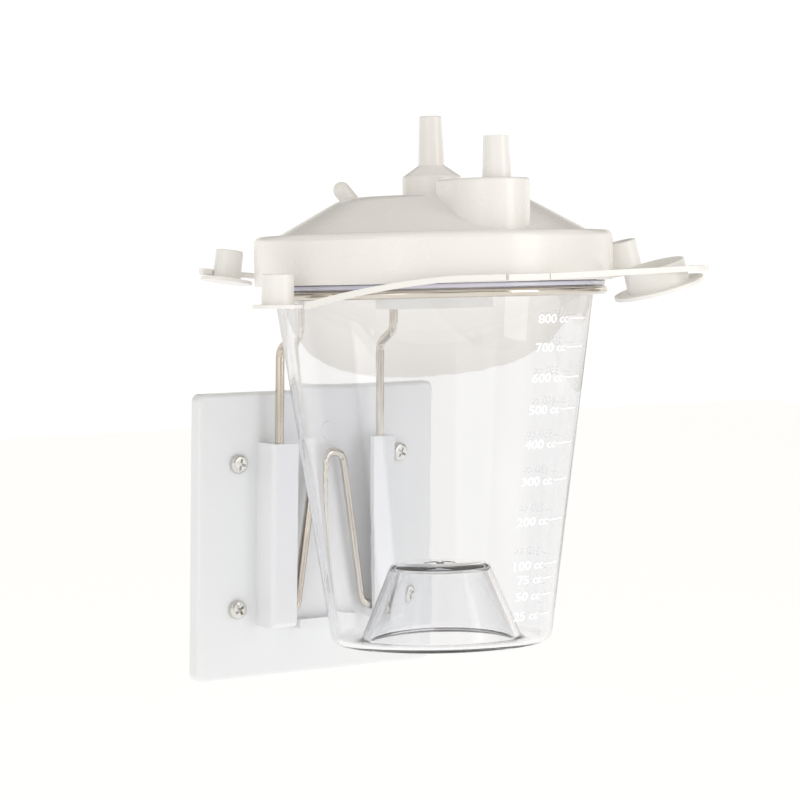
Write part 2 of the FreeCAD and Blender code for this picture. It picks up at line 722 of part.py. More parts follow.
STUB_LEAN = FreeCAD.Rotation(Z_AXIS, FreeCAD.Vector(-0.62, 0.12, 0.78))
stub_root = FreeCAD.Vector(-value("stub_left"), value("stub_back"), value("stub_high"))
stub_top = stub_root + STUB_LEAN.multVec(FreeCAD.Vector(0, 0, value("stub_tall")))
stub = lid.newObject("PartDesign::AdditiveCylinder", "Stub")
stub.setExpression("Radius", "Dims.stub_radius")
stub.setExpression("Height", "Dims.stub_tall")
stub.Placement = FreeCAD.Placement(stub_root, STUB_LEAN)
doc.recompute()
stub_end = lid.newObject("PartDesign::AdditiveSphere", "StubEnd")
stub_end.setExpression("Radius", "Dims.stub_radius")
stub_end.Placement.Base = stub_top
doc.recompute()

lugs = new_sketch(lid, "StrapLugs", "XY_Plane")
for front in (-1, 1):
    near = (size("skirt_radius") - 1.5) * front
    far = size("strap_out") * front
    low, high = (near, far) if front > 0 else (far, near)
    rectangle(lugs, -size("root_half"), size("root_half"), low, high)
lift_sketch(lugs, size("strap_low"))
pad(lid, lugs, "StrapLugPads", size("strap_thick"))

skirt_hollow = new_sketch(lid, "SkirtHollow", "XZ_Plane")
lid_under = size("skirt_high") - size("lid_wall")
outline(skirt_hollow, [
    (size("plug_radius"), size("skirt_low") - 1.0),
    (size("skirt_radius") - size("lid_wall"), size("skirt_low") - 1.0),
    (size("skirt_radius") - size("lid_wall"), lid_under),
    (size("plug_radius"), lid_under),
])
revolve(lid, skirt_hollow, "SkirtHollowCut", subtract=True)

dome_hollow = new_sketch(lid, "DomeHollow", "XZ_Plane")
inner_plug = size("plug_radius") - size("lid_wall")
inner_flat = size("dome_high") - size("lid_wall")
outline(dome_hollow, [
    (0, size("skirt_low") - 1.0),
    (inner_plug, size("skirt_low") - 1.0),
    (inner_plug, lid_under),
    (size("dome_break") - 4.0, inner_flat),
    (size("filter_radius") + 0.2, inner_flat),
    (size("filter_radius") + 0.2, size("filter_high") + 2.6),
    (size("port_bore"), size("tall_neck") - 3.0),
    (size("port_bore"), size("tall_tip") + 1.0),
    (0, size("tall_tip") + 1.0),
])
revolve(lid, dome_hollow, "DomeHollowCut", subtract=True)

block_hollow = new_sketch(lid, "BlockHollow", "XY_Plane")
block_outline(block_hollow, size("lid_wall"))
lift_sketch(block_hollow, size("block_high") - size("lid_wall"))
cut(lid, block_hollow, "BlockHollowCut", size("block_high") - lid_under - 2.0)

short_bore = new_sketch(lid, "ShortBore", "XY_Plane")
circle(short_bore, 0, -size("short_reach"), size("port_bore"))
lift_sketch(short_bore, size("short_tip") + 1.0)
cut(lid, short_bore, "ShortBoreCut", size("short_tip") - size("block_high") + 6.0)

cage_spigot = new_sketch(lid, "CageSpigot", "XZ_Plane")
spigot_out = size("cage_radius") - size("cage_wall") - size("spigot_gap")
spigot_in = spigot_out - size("spigot_wall")
outline(cage_spigot, [
    (spigot_in, size("cage_high") - 3.5),
    (spigot_out, size("cage_high") - 3.5),
    (spigot_out, inner_flat + 0.5),
    (spigot_in, inner_flat + 0.5),
])
revolve(lid, cage_spigot, "CageSpigotRing")
lid.Placement = LID_HANG


# ---------------------------------------------------------------------------
# Lid seal: a flat soft ring between the canister's rim and the lid.
# ---------------------------------------------------------------------------
lid_seal = new_body("lid_seal")
seal_ring = new_sketch(lid_seal, "SealSection", "XZ_Plane")
outline(seal_ring, [
    (size("plug_radius") + 0.2, size("collar_top") + 0.1),
    (size("skirt_radius") - size("lid_wall") - 1.0, size("collar_top") + 0.1),
    (size("skirt_radius") - size("lid_wall") - 1.0, lid_under),
    (size("plug_radius") + 0.2, lid_under),
])
revolve(lid_seal, seal_ring, "SealRing")
lid_seal.Placement = LID_HANG


# ---------------------------------------------------------------------------
# Overflow valve under the tall port: cage, float, the float's soft seal, and
# the filter disc above the valve seat.
# ---------------------------------------------------------------------------
valve_cage = new_body("valve_cage")
cage = new_sketch(valve_cage, "CageProfile", "XZ_Plane")
cage_inner = size("cage_radius") - size("cage_wall")
seat_high = size("seat_low") + size("seat_thick")
outline(cage, [
    (size("cage_mouth"), size("cage_low")),
    (size("cage_radius"), size("cage_low")),
    (size("cage_radius"), size("cage_high")),
    (cage_inner, size("cage_high")),
    (cage_inner, seat_high),
    (size("seat_hole"), seat_high),
    (size("seat_hole"), size("seat_low")),
    (cage_inner, size("seat_low")),
    (cage_inner, size("cage_low") + size("cage_wall")),
    (size("cage_mouth"), size("cage_low") + size("cage_wall")),
])
revolve(valve_cage, cage, "CageBody")
window = new_sketch(valve_cage, "CageWindow", "XZ_Plane")
window_half = size("window_half")
rectangle(window, -window_half, window_half, size("cage_low") + 11.0, size("seat_low") - 4.0)
window_cut = cut(valve_cage, window, "CageWindowCut", size("cage_radius") + 1.0, reverse=True)
window_ring = valve_cage.newObject("PartDesign::PolarPattern", "CageWindows")
window_ring.Originals = [window_cut]
window_ring.Axis = (window, ["V_Axis"])
window_ring.Angle = 360.0
window_ring.Occurrences = 6
valve_cage.Tip = window_ring
doc.recompute()
valve_cage.Placement = LID_HANG

shutoff_float = new_body("shutoff_float")
float_section = new_sketch(shutoff_float, "FloatProfile", "XZ_Plane")
float_inner = size("float_radius") - size("float_wall")
float_under = size("float_high") - size("float_wall")
outline(float_section, [
    (0, float_under),
    (float_inner, float_under),
    (float_inner, size("float_low")),
    (size("float_radius"), size("float_low")),
    (size("float_radius"), size("float_high")),
    (size("float_stem") + 0.4, size("float_high")),
    (size("float_stem") - 0.4, size("seal_low")),
    (0, size("seal_low")),
])
revolve(shutoff_float, float_section, "FloatBody")
shutoff_float.Placement = LID_HANG

float_seal = new_body("float_seal")
seal_section = new_sketch(float_seal, "FloatSealProfile", "XZ_Plane")
rectangle(seal_section, 0, size("seal_radius"), size("seal_low"), size("seal_high"))
revolve(float_seal, seal_section, "FloatSealDisc")
float_seal.Placement = LID_HANG

vacuum_filter = new_body("vacuum_filter")
filter_section = new_sketch(vacuum_filter, "FilterProfile", "XZ_Plane")
rectangle(filter_section, 0, size("filter_radius"), size("filter_low"), size("filter_high"))
revolve(vacuum_filter, filter_section, "FilterDisc")
vacuum_filter.Placement = LID_HANG


# ---------------------------------------------------------------------------
# Straps and caps. Two straps curve round the skirt straight to their caps;
# two run out along a tangent and turn back to theirs. Plan angles here run
# from the strap's own root lug round the lid.
# ---------------------------------------------------------------------------
def flat_band(chains, tips):
    """A level band from two plan edge chains and the ends that they share."""
    edges = [edge for chain in chains for edge in chain]
    for inner_end, outer_end in zip(*tips):
        edges.append(Part.LineSegment(inner_end, outer_end).toShape())
    plan = Part.Face(Part.Wire(Part.__sortEdges__(edges)))
    return plan.extrude(FreeCAD.Vector(0, 0, value("strap_thick")))


def around(radius, degrees):
    """A plan point at an angle to the left of the front root."""
    angle = math.radians(degrees)
    return FreeCAD.Vector(-radius * math.sin(angle), -radius * math.cos(angle), 0)


def strap_fall(angle, end_angle, fall):
    """How far a curved strap has left its level at an angle from its root."""
    level = value("strap_level")
    if angle <= level:
        return 0.0
    return fall * ((angle - level) / (end_angle - level)) ** 1.5


def curved_strap(end_angle, fall):
    """A strap that follows the skirt from its root, level and then falling."""
    inner = value("strap_in")
    outer = value("strap_out")
    low = value("strap_low")
    high = low + value("strap_thick")
    begin = math.degrees(math.asin((value("root_half") + value("hinge_gap")) / inner))
    steps = 14
    sections = []
    for step in range(steps + 1):
        angle = begin + (end_angle - begin) * step / steps
        drop = FreeCAD.Vector(0, 0, -strap_fall(angle, end_angle, fall))
        corners = [
            around(radius, angle) + drop + FreeCAD.Vector(0, 0, height)
            for radius, height in ((inner, low), (outer, low), (outer, high), (inner, high))
        ]
        sections.append(Part.makePolygon(corners + corners[:1]))
    return Part.makeLoft(sections, True, False)


def returning_strap(straight, turn_radius, last_run):
    """A strap that runs out along a tangent, then turns a quarter towards its cap."""
    inner = value("strap_in")
    outer = value("strap_out")
    begin_x = value("root_half") + value("hinge_gap")
    wide = outer - inner
    centre_y = -inner + turn_radius - wide / 2
    half = math.sqrt(0.5)
    low = value("strap_low")
    chains = []
    tips = []
    for edge_y, radius in ((-inner, turn_radius - wide / 2), (-outer, turn_radius + wide / 2)):
        first = FreeCAD.Vector(begin_x, edge_y, low)
        corner = FreeCAD.Vector(straight, edge_y, low)
        mid = FreeCAD.Vector(straight + radius * half, centre_y - radius * half, low)
        side = FreeCAD.Vector(straight + radius, centre_y, low)
        last = FreeCAD.Vector(straight + radius, centre_y + last_run, low)
        chains.append([
            Part.LineSegment(first, corner).toShape(),
            Part.Arc(corner, mid, side).toShape(),
            Part.LineSegment(side, last).toShape(),
        ])
        tips.append((first, last))
    return flat_band(chains, tips)


def strap(label, band, placement):
    """Make one strap node from its solid."""
    node = doc.addObject("Part::Feature", label)
    node.Label = label
    node.Shape = band
    node.Placement = placement
    return node


def cap(label, disc_radius, cup_radius, cup_tall, placement):
    """Make one cap: a flat disc with an open cup standing on it."""
    body = new_body(label)
    section = new_sketch(body, f"{label}_section", "XZ_Plane")
    thick = size("disc_thick")
    outline(section, [
        (0, 0),
        (disc_radius, 0),
        (disc_radius, thick),
        (cup_radius, thick),
        (cup_radius - 0.25, thick + cup_tall),
        (cup_radius - 1.35, thick + cup_tall),
        (cup_radius - 1.2, thick),
        (0, thick),
    ])
    turned = revolve(body, section, f"{label}_cup")

    def is_lip(edge):
        """True for the cup's outer lip."""
        return is_ring(edge, cup_radius - 0.25, thick.value + cup_tall)

    fillet(body, turned, f"{label}_lip", 0.5, is_lip)
    body.Placement = placement
    return body


BACK_TURN = FreeCAD.Placement(FreeCAD.Vector(0, 0, 0), FreeCAD.Rotation(Z_AXIS, 180.0))
mid_thick = value("strap_low") + value("strap_thick") / 2
root_line = value("root_half") + value("hinge_gap") / 2


def cap_place(centre, hinge, axis, degrees):
    """Set a cap down level with its flexing line and turn it about that line."""
    low = hinge.z - value("disc_thick") / 2
    down = FreeCAD.Placement(FreeCAD.Vector(centre.x, centre.y, low), FreeCAD.Rotation())
    return turn_about(hinge, axis, degrees) * down


# name, root placement, fall, strap end angle, cap angle, cap reach, cap tilt, twist, cup radius
CURVED = (
    ("front_left", LID_HANG, 8.7, 68.1, 74.4, 77.0, 1.0, 0.0, 5.9),
    ("back_right", LID_HANG * BACK_TURN, -0.3, 92.0, 98.2, 79.0, 0.0, 13.0, 5.7),
)
for name, base, fall, end_angle, cap_angle, reach, tilt, twist, cup_radius in CURVED:
    strap(f"strap_{name}", curved_strap(end_angle, fall), base)
    hinge = around(reach, end_angle)
    hinge.z = mid_thick - fall
    strap_end = around(value("strap_out"), end_angle)
    strap_end.z = hinge.z
    banked = turn_about(strap_end, around(1.0, end_angle + 90.0), twist)
    place = cap_place(around(reach, cap_angle), hinge, around(1.0, end_angle), -tilt)
    cap(f"cap_{name}", value("small_disc"), cup_radius, value("cup_tall"), base * banked * place)


def root_swing(degrees):
    """Bend a strap in towards the skirt, level, at its root."""
    return turn_about(FreeCAD.Vector(root_line, -value("strap_in"), mid_thick), Z_AXIS, degrees)


def root_rise(degrees):
    """Bend a right-hand strap up about the radial line at its root."""
    return turn_about(FreeCAD.Vector(root_line, 0, mid_thick), Y_AXIS, -degrees)


def hanging_disc(straight, turn_radius, drop, disc_radius, cup_radius):
    """Centre and flexing line of a disc that hangs under a returning strap's end."""
    rim_x = straight + turn_radius + (value("strap_out") - value("strap_in")) / 2
    centre = FreeCAD.Vector(rim_x - disc_radius, value("cup_clear") + cup_radius - value("strap_in"), 0)
    return centre, FreeCAD.Vector(rim_x, centre.y, mid_thick - drop)


# name, root placement, cup height, straight run, turn radius, last run, drop to the
# disc, disc radius, cup radius, tilt
RETURNING = (
    ("front_right", LID_HANG * root_rise(1.7), "wide_cup_tall", 69.1, 9.0, 4.0, 2.6, 16.8, 11.65, 13.6),
    ("back_left", LID_HANG * BACK_TURN * root_swing(4.0) * root_rise(5.0), "cup_tall",
     61.0, 6.0, 1.5, 2.4, 9.9, 5.45, 4.0),
)
for name, base, tall, straight, turn_radius, last_run, drop, disc_radius, cup_radius, tilt in RETURNING:
    strap(f"strap_{name}", returning_strap(straight, turn_radius, last_run), base)
    centre, hinge = hanging_disc(straight, turn_radius, drop, disc_radius, cup_radius)
    place = base * cap_place(centre, hinge, Y_AXIS, -tilt)
    cap(f"cap_{name}", disc_radius, cup_radius, value(tall), place)


# ---------------------------------------------------------------------------
# Check every object, then write one file per node.
# ---------------------------------------------------------------------------
doc.recompute()
for item in doc.Objects:
    if "Invalid" in item.State or "Error" in item.State:
        raise RuntimeError(f"{item.Name} did not recompute: {item.State}")

nodes = [
    item for item in doc.Objects
    if item.TypeId in ("PartDesign::Body", "Part::Feature")
]
os.makedirs("parts", exist_ok=True)
for node in nodes:
    if node.Shape.isNull() or not node.Shape.isValid():
        raise RuntimeError(f"{node.Label} has no valid shape")
for node in nodes:
    node.Shape.exportStep(f"parts/{node.Label}.step")
    print(f"{node.Label}: {len(node.Shape.Solids)} solid(s), {node.Shape.Volume / 1000:.2f} cm3")
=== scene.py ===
import json
import logging
import math
from dataclasses import dataclass, field
from enum import Enum

import bpy
from mathutils import Matrix, Vector
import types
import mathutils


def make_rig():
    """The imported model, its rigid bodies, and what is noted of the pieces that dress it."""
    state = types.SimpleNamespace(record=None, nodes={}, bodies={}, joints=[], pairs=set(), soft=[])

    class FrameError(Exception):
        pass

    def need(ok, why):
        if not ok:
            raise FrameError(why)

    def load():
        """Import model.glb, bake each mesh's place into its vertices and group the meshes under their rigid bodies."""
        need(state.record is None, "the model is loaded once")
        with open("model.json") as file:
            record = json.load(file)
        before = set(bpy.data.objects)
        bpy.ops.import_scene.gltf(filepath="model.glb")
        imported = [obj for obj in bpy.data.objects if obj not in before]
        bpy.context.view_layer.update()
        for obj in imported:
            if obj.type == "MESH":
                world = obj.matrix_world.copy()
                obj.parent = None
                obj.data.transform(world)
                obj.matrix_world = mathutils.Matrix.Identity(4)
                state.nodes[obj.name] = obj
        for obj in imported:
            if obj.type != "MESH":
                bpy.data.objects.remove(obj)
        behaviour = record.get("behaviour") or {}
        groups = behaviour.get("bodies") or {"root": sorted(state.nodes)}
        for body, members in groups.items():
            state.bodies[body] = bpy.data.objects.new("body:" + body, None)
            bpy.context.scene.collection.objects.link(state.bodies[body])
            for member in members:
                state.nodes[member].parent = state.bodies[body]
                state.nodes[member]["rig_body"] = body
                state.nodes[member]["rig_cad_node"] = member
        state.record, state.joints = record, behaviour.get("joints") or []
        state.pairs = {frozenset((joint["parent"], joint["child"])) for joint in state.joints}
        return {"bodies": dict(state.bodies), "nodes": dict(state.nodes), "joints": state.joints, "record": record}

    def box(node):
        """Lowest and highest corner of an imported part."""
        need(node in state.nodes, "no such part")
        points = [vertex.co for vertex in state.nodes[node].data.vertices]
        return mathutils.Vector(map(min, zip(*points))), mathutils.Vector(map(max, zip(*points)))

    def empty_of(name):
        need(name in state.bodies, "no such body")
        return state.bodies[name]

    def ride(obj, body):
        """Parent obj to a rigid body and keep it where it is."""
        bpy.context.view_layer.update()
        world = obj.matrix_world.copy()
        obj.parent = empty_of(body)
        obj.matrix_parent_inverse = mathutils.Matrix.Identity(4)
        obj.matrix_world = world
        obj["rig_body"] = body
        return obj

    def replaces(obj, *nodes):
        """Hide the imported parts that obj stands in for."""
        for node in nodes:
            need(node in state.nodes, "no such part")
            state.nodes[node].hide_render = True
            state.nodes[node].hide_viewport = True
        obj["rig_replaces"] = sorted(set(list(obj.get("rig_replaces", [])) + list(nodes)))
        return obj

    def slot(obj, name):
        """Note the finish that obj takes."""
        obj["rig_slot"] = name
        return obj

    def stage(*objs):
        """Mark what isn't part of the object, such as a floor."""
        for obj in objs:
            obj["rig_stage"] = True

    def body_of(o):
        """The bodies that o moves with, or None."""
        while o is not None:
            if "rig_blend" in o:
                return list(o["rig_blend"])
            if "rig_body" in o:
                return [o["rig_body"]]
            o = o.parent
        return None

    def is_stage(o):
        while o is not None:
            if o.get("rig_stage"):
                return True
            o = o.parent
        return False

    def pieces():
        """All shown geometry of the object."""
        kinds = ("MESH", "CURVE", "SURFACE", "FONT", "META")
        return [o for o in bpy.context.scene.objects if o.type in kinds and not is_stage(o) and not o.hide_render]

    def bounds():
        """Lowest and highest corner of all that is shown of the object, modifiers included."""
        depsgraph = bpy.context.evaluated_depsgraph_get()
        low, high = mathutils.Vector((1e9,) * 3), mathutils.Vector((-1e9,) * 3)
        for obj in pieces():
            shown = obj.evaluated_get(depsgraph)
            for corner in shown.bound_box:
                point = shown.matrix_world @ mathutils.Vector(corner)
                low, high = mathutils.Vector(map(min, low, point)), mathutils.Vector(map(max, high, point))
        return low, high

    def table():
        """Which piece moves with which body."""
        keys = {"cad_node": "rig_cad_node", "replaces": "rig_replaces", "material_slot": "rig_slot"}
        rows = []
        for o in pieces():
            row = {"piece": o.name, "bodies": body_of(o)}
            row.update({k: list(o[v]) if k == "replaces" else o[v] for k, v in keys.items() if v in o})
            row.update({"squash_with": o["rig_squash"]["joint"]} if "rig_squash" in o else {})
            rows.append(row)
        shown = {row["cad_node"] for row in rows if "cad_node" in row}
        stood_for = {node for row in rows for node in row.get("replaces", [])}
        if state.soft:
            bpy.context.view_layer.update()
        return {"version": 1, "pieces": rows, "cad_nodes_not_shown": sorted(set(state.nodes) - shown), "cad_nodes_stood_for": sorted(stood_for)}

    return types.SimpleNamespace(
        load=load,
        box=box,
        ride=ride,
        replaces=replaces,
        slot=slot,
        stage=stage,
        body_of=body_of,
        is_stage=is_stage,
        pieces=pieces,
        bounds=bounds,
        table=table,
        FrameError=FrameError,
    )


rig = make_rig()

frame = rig.load()
CAD_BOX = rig.bounds()

# Looks for a wall-mounted suction canister: wall plate, wire bracket, clear cup, ported lid
# and its tethered caps. Lengths are metres unless a name says millimetres.

log = logging.getLogger("suction_canister")
logging.basicConfig(level=logging.INFO, format="%(name)s: %(message)s")

MM = 0.001
SHARP_ANGLE = 0.6
WIRE_WIDE = 3.5 * MM
RING_RADIUS = 63.0 * MM
CUBIC_MM_PER_ML = 1000.0
Colour = tuple[float, float, float]
Profile = list[tuple[float, float]]


class Slot(Enum):
    """The record's material slots that new pieces take their finish from."""

    CLEAR = "clear_plastic"


class FigureSide(Enum):
    """Which side of its marks a scale's figures stand on, and how that aligns their text."""

    LEFT = "RIGHT"
    RIGHT = "LEFT"


# ---------------------------------------------------------------------------
# Shared shader groups
# ---------------------------------------------------------------------------
@dataclass
class GroupMaker:
    """Builds one shader node group and lays its nodes out by name."""

    title: str
    tree: bpy.types.NodeTree = field(init=False)

    def __post_init__(self) -> None:
        """Make the empty group with its two end nodes."""
        self.tree = bpy.data.node_groups.new(self.title, "ShaderNodeTree")
        self.start = self.tree.nodes.new("NodeGroupInput")
        self.end = self.tree.nodes.new("NodeGroupOutput")

    def socket(
        self, label: str, kind: str, side: str = "INPUT"
    ) -> bpy.types.NodeTreeInterfaceSocket:
        """Declare one socket of the group."""
        return self.tree.interface.new_socket(label, in_out=side, socket_type=f"NodeSocket{kind}")

    def takes(self, **inputs: object) -> None:
        """Args:
            inputs: socket name to default; None is a vector, a tuple a colour, a number a float.
        """
        for name, default in inputs.items():
            label = name.replace("_", " ").title()
            if default is None:
                self.socket(label, "Vector")
            elif isinstance(default, tuple):
                self.socket(label, "Color").default_value = (*default, 1.0)
            else:
                self.socket(label, "Float").default_value = default

    def gives(self, **outputs: tuple[str, bpy.types.NodeSocket]) -> bpy.types.NodeTree:
        """Args:
            outputs: socket name to its kind ("Color" or "Float") and the socket that feeds it.

        Returns:
            The finished group.
        """
        for name, (kind, source) in outputs.items():
            label = name.replace("_", " ").title()
            self.socket(label, kind, "OUTPUT")
            self.tree.links.new(source, self.end.inputs[label])
        return self.tree

    def node(
        self, kind: str, links: dict[object, object] | None = None, **settings: object
    ) -> bpy.types.Node:
        """Add a node.

        Args:
            kind: the node type without its ShaderNode prefix.
            links: input name or index to a socket that feeds it or to a plain value.
            settings: attributes set on the node.

        Returns:
            The new node.
        """
        return add_node(self.tree, kind, links, **settings)

    def given(self, label: str) -> bpy.types.NodeSocket:
        """One of the group's own inputs."""
        return self.start.outputs[label]


def add_node(
    tree: bpy.types.NodeTree, kind: str, links: dict[object, object] | None = None,
    **settings: object
) -> bpy.types.Node:
    """Add a shader node to a tree and feed its inputs.

    Args:
        tree: the node tree.
        kind: the node type without its ShaderNode prefix.
        links: input name or index to a feeding socket or a plain value.
        settings: attributes set on the node.

    Returns:
        The new node.
    """
    made = tree.nodes.new(f"ShaderNode{kind}")
    for name, value in settings.items():
        setattr(made, name, value)
    for key, value in (links or {}).items():
        if isinstance(value, bpy.types.NodeSocket):
            tree.links.new(value, made.inputs[key])
        else:
            made.inputs[key].default_value = value
    return made


@dataclass
class ShaderKit:
    """The shader groups that several finishes share."""

    groups: dict[str, bpy.types.NodeTree] = field(default_factory=dict)

    def build(self) -> None:
        """Build every shared group once."""
        self.groups = {
            "moulded": self.moulded(),
            "scuffs": self.scuffs(),
            "settled_dust": self.settled_dust(),
            "drawn": self.drawn(),
            "flow": self.flow(),
        }

    @staticmethod
    def moulded() -> bpy.types.NodeTree:
        """Moulded plastic: slow changes of tone and gloss over a fine moulded grain.

        Returns:
            The group, with a colour, a roughness and a height.
        """
        g = GroupMaker("moulded_plastic")
        g.takes(position=None, tone=(0.8, 0.8, 0.8), shade=(0.7, 0.7, 0.7), mottle_scale=40.0,
                grain_scale=1800.0, roughness=0.3, spread=0.1)
        slow = g.node("TexNoise", {"Vector": g.given("Position"), "Scale": g.given("Mottle Scale"),
                                   "Detail": 4.0, "Roughness": 0.55})
        share = g.node("MapRange", {"Value": slow.outputs["Fac"], "From Min": 0.35,
                                    "From Max": 0.72})
        colour = g.node("MixRGB", {"Fac": share.outputs["Result"], "Color1": g.given("Tone"),
                                   "Color2": g.given("Shade")})
        fine = g.node("TexNoise", {"Vector": g.given("Position"), "Scale": g.given("Grain Scale"),
                                   "Detail": 2.0, "Roughness": 0.6})
        swing = g.node("Math", {0: slow.outputs["Fac"], 1: 0.5}, operation="SUBTRACT")
        rough = g.node("Math", {0: swing.outputs[0], 1: g.given("Spread"), 2: g.given("Roughness")},
                       operation="MULTIPLY_ADD")
        return g.gives(color=("Color", colour.outputs[0]), roughness=("Float", rough.outputs[0]),
                       height=("Float", fine.outputs["Fac"]))

    @staticmethod
    def scuffs() -> bpy.types.NodeTree:
        """Hairline scuffs from handling: thin stretched marks in two directions.

        Returns:
            The group, with one mask.
        """
        g = GroupMaker("handling_scuffs")
        g.takes(position=None, scale=110.0, amount=0.1)
        marks = []
        for turn, stretch in (((0.4, 0.9, 0.2), (9.0, 0.6, 1.1)),
                              ((1.3, 0.1, 0.7), (0.7, 8.0, 0.8))):
            laid = g.node("Mapping", {"Vector": g.given("Position"), "Rotation": turn,
                                      "Scale": stretch})
            streak = g.node("TexNoise", {"Vector": laid.outputs[0], "Scale": g.given("Scale"),
                                         "Detail": 1.0, "Roughness": 0.4})
            away = g.node("Math", {0: streak.outputs["Fac"], 1: 0.5}, operation="SUBTRACT")
            size = g.node("Math", {0: away.outputs[0]}, operation="ABSOLUTE")
            line = g.node("MapRange", {"Value": size.outputs[0], "From Min": 0.0,
                                       "From Max": 0.0022, "To Min": 1.0, "To Max": 0.0})
            marks.append(line.outputs["Result"])
        both = g.node("Math", {0: marks[0], 1: marks[1]}, operation="MAXIMUM")
        patch = g.node("TexNoise", {"Vector": g.given("Position"), "Scale": 25.0, "Detail": 2.0})
        where = g.node("MapRange", {"Value": patch.outputs["Fac"], "From Min": 0.5,
                                    "From Max": 0.66})
        kept = g.node("Math", {0: both.outputs[0], 1: where.outputs["Result"]},
                      operation="MULTIPLY")
        scaled = g.node("Math", {0: kept.outputs[0], 1: g.given("Amount")}, operation="MULTIPLY")
        return g.gives(mask=("Float", scaled.outputs[0]))

    @staticmethod
    def settled_dust() -> bpy.types.NodeTree:
        """A trace of dust on surfaces that face up, broken by noise.

        Returns:
            The group, with the dusted colour and a mask.
        """
        g = GroupMaker("settled_dust")
        g.takes(position=None, color=(0.8, 0.8, 0.8), dust=(0.6, 0.58, 0.54), amount=0.15)
        facing = g.node("NewGeometry")
        parts = g.node("SeparateXYZ", {0: facing.outputs["Normal"]})
        up = g.node("MapRange", {"Value": parts.outputs["Z"], "From Min": 0.55, "From Max": 1.0})
        patch = g.node("TexNoise", {"Vector": g.given("Position"), "Scale": 130.0, "Detail": 6.0})
        broken = g.node("MapRange", {"Value": patch.outputs["Fac"], "From Min": 0.38,
                                     "From Max": 0.68})
        both = g.node("Math", {0: up.outputs["Result"], 1: broken.outputs["Result"]},
                      operation="MULTIPLY")
        mask = g.node("Math", {0: both.outputs[0], 1: g.given("Amount")}, operation="MULTIPLY")
        colour = g.node("MixRGB", {"Fac": mask.outputs[0], "Color1": g.given("Color"),
                                   "Color2": g.given("Dust")})
        return g.gives(color=("Color", colour.outputs[0]), mask=("Float", mask.outputs[0]))

    @staticmethod
    def drawn() -> bpy.types.NodeTree:
        """Drawn or turned metal: long fine lines with slow stains across them.

        Returns:
            The group, with a colour, a roughness and a height.
        """
        g = GroupMaker("drawn_metal")
        g.takes(position=None, tone=(0.7, 0.7, 0.7), stain=(0.5, 0.45, 0.4), stretch=None,
                roughness=0.15, spread=0.1)
        laid = g.node("VectorMath", {0: g.given("Position"), 1: g.given("Stretch")},
                      operation="MULTIPLY")
        lines = g.node("TexNoise", {"Vector": laid.outputs[0], "Scale": 1.0, "Detail": 3.0,
                                    "Roughness": 0.7})
        slow = g.node("TexNoise", {"Vector": g.given("Position"), "Scale": 55.0, "Detail": 3.0})
        share = g.node("MapRange", {"Value": slow.outputs["Fac"], "From Min": 0.48,
                                    "From Max": 0.8})
        colour = g.node("MixRGB", {"Fac": share.outputs["Result"], "Color1": g.given("Tone"),
                                   "Color2": g.given("Stain")})
        rough = g.node("Math", {0: lines.outputs["Fac"], 1: g.given("Spread"),
                                2: g.given("Roughness")}, operation="MULTIPLY_ADD")
        return g.gives(color=("Color", colour.outputs[0]), roughness=("Float", rough.outputs[0]),
                       height=("Float", lines.outputs["Fac"]))

    @staticmethod
    def flow() -> bpy.types.NodeTree:
        """Flow waves left in clear plastic by the mould: long, upright and very shallow.

        Returns:
            The group, with a height.
        """
        g = GroupMaker("mould_flow")
        g.takes(position=None, waves=90.0)
        laid = g.node("Mapping", {"Vector": g.given("Position"), "Scale": (1.0, 1.0, 0.07)})
        wave = g.node("TexNoise", {"Vector": laid.outputs[0], "Scale": g.given("Waves"),
                                   "Detail": 1.5})
        return g.gives(height=("Float", wave.outputs["Fac"]))

    def place(
        self, tree: bpy.types.NodeTree, group: str, links: dict[str, object]
    ) -> bpy.types.Node:
        """Put a shared group into a material.

        Args:
            tree: the material's node tree.
            group: the group's key.
            links: input name to a feeding socket or a plain value.

        Returns:
            The group node.
        """
        made = tree.nodes.new("ShaderNodeGroup")
        made.node_tree = self.groups[group]
        for key, value in links.items():
            if isinstance(value, bpy.types.NodeSocket):
                tree.links.new(value, made.inputs[key])
            else:
                made.inputs[key].default_value = value
        return made


def new_material(name: str) -> tuple[bpy.types.Material, bpy.types.NodeTree, bpy.types.Node]:
    """A node material with only its shader and output.

    Args:
        name: the material's name.

    Returns:
        The material, its tree and its Principled shader.
    """
    material = bpy.data.materials.new(name)
    material.use_nodes = True
    tree = material.node_tree
    tree.nodes.clear()
    shader = add_node(tree, "BsdfPrincipled")
    out = add_node(tree, "OutputMaterial")
    tree.links.new(shader.outputs[0], out.inputs["Surface"])
    return material, tree, shader


def opaque(colour: Colour) -> tuple[float, float, float, float]:
    """A colour with full alpha."""
    return (*colour, 1.0)


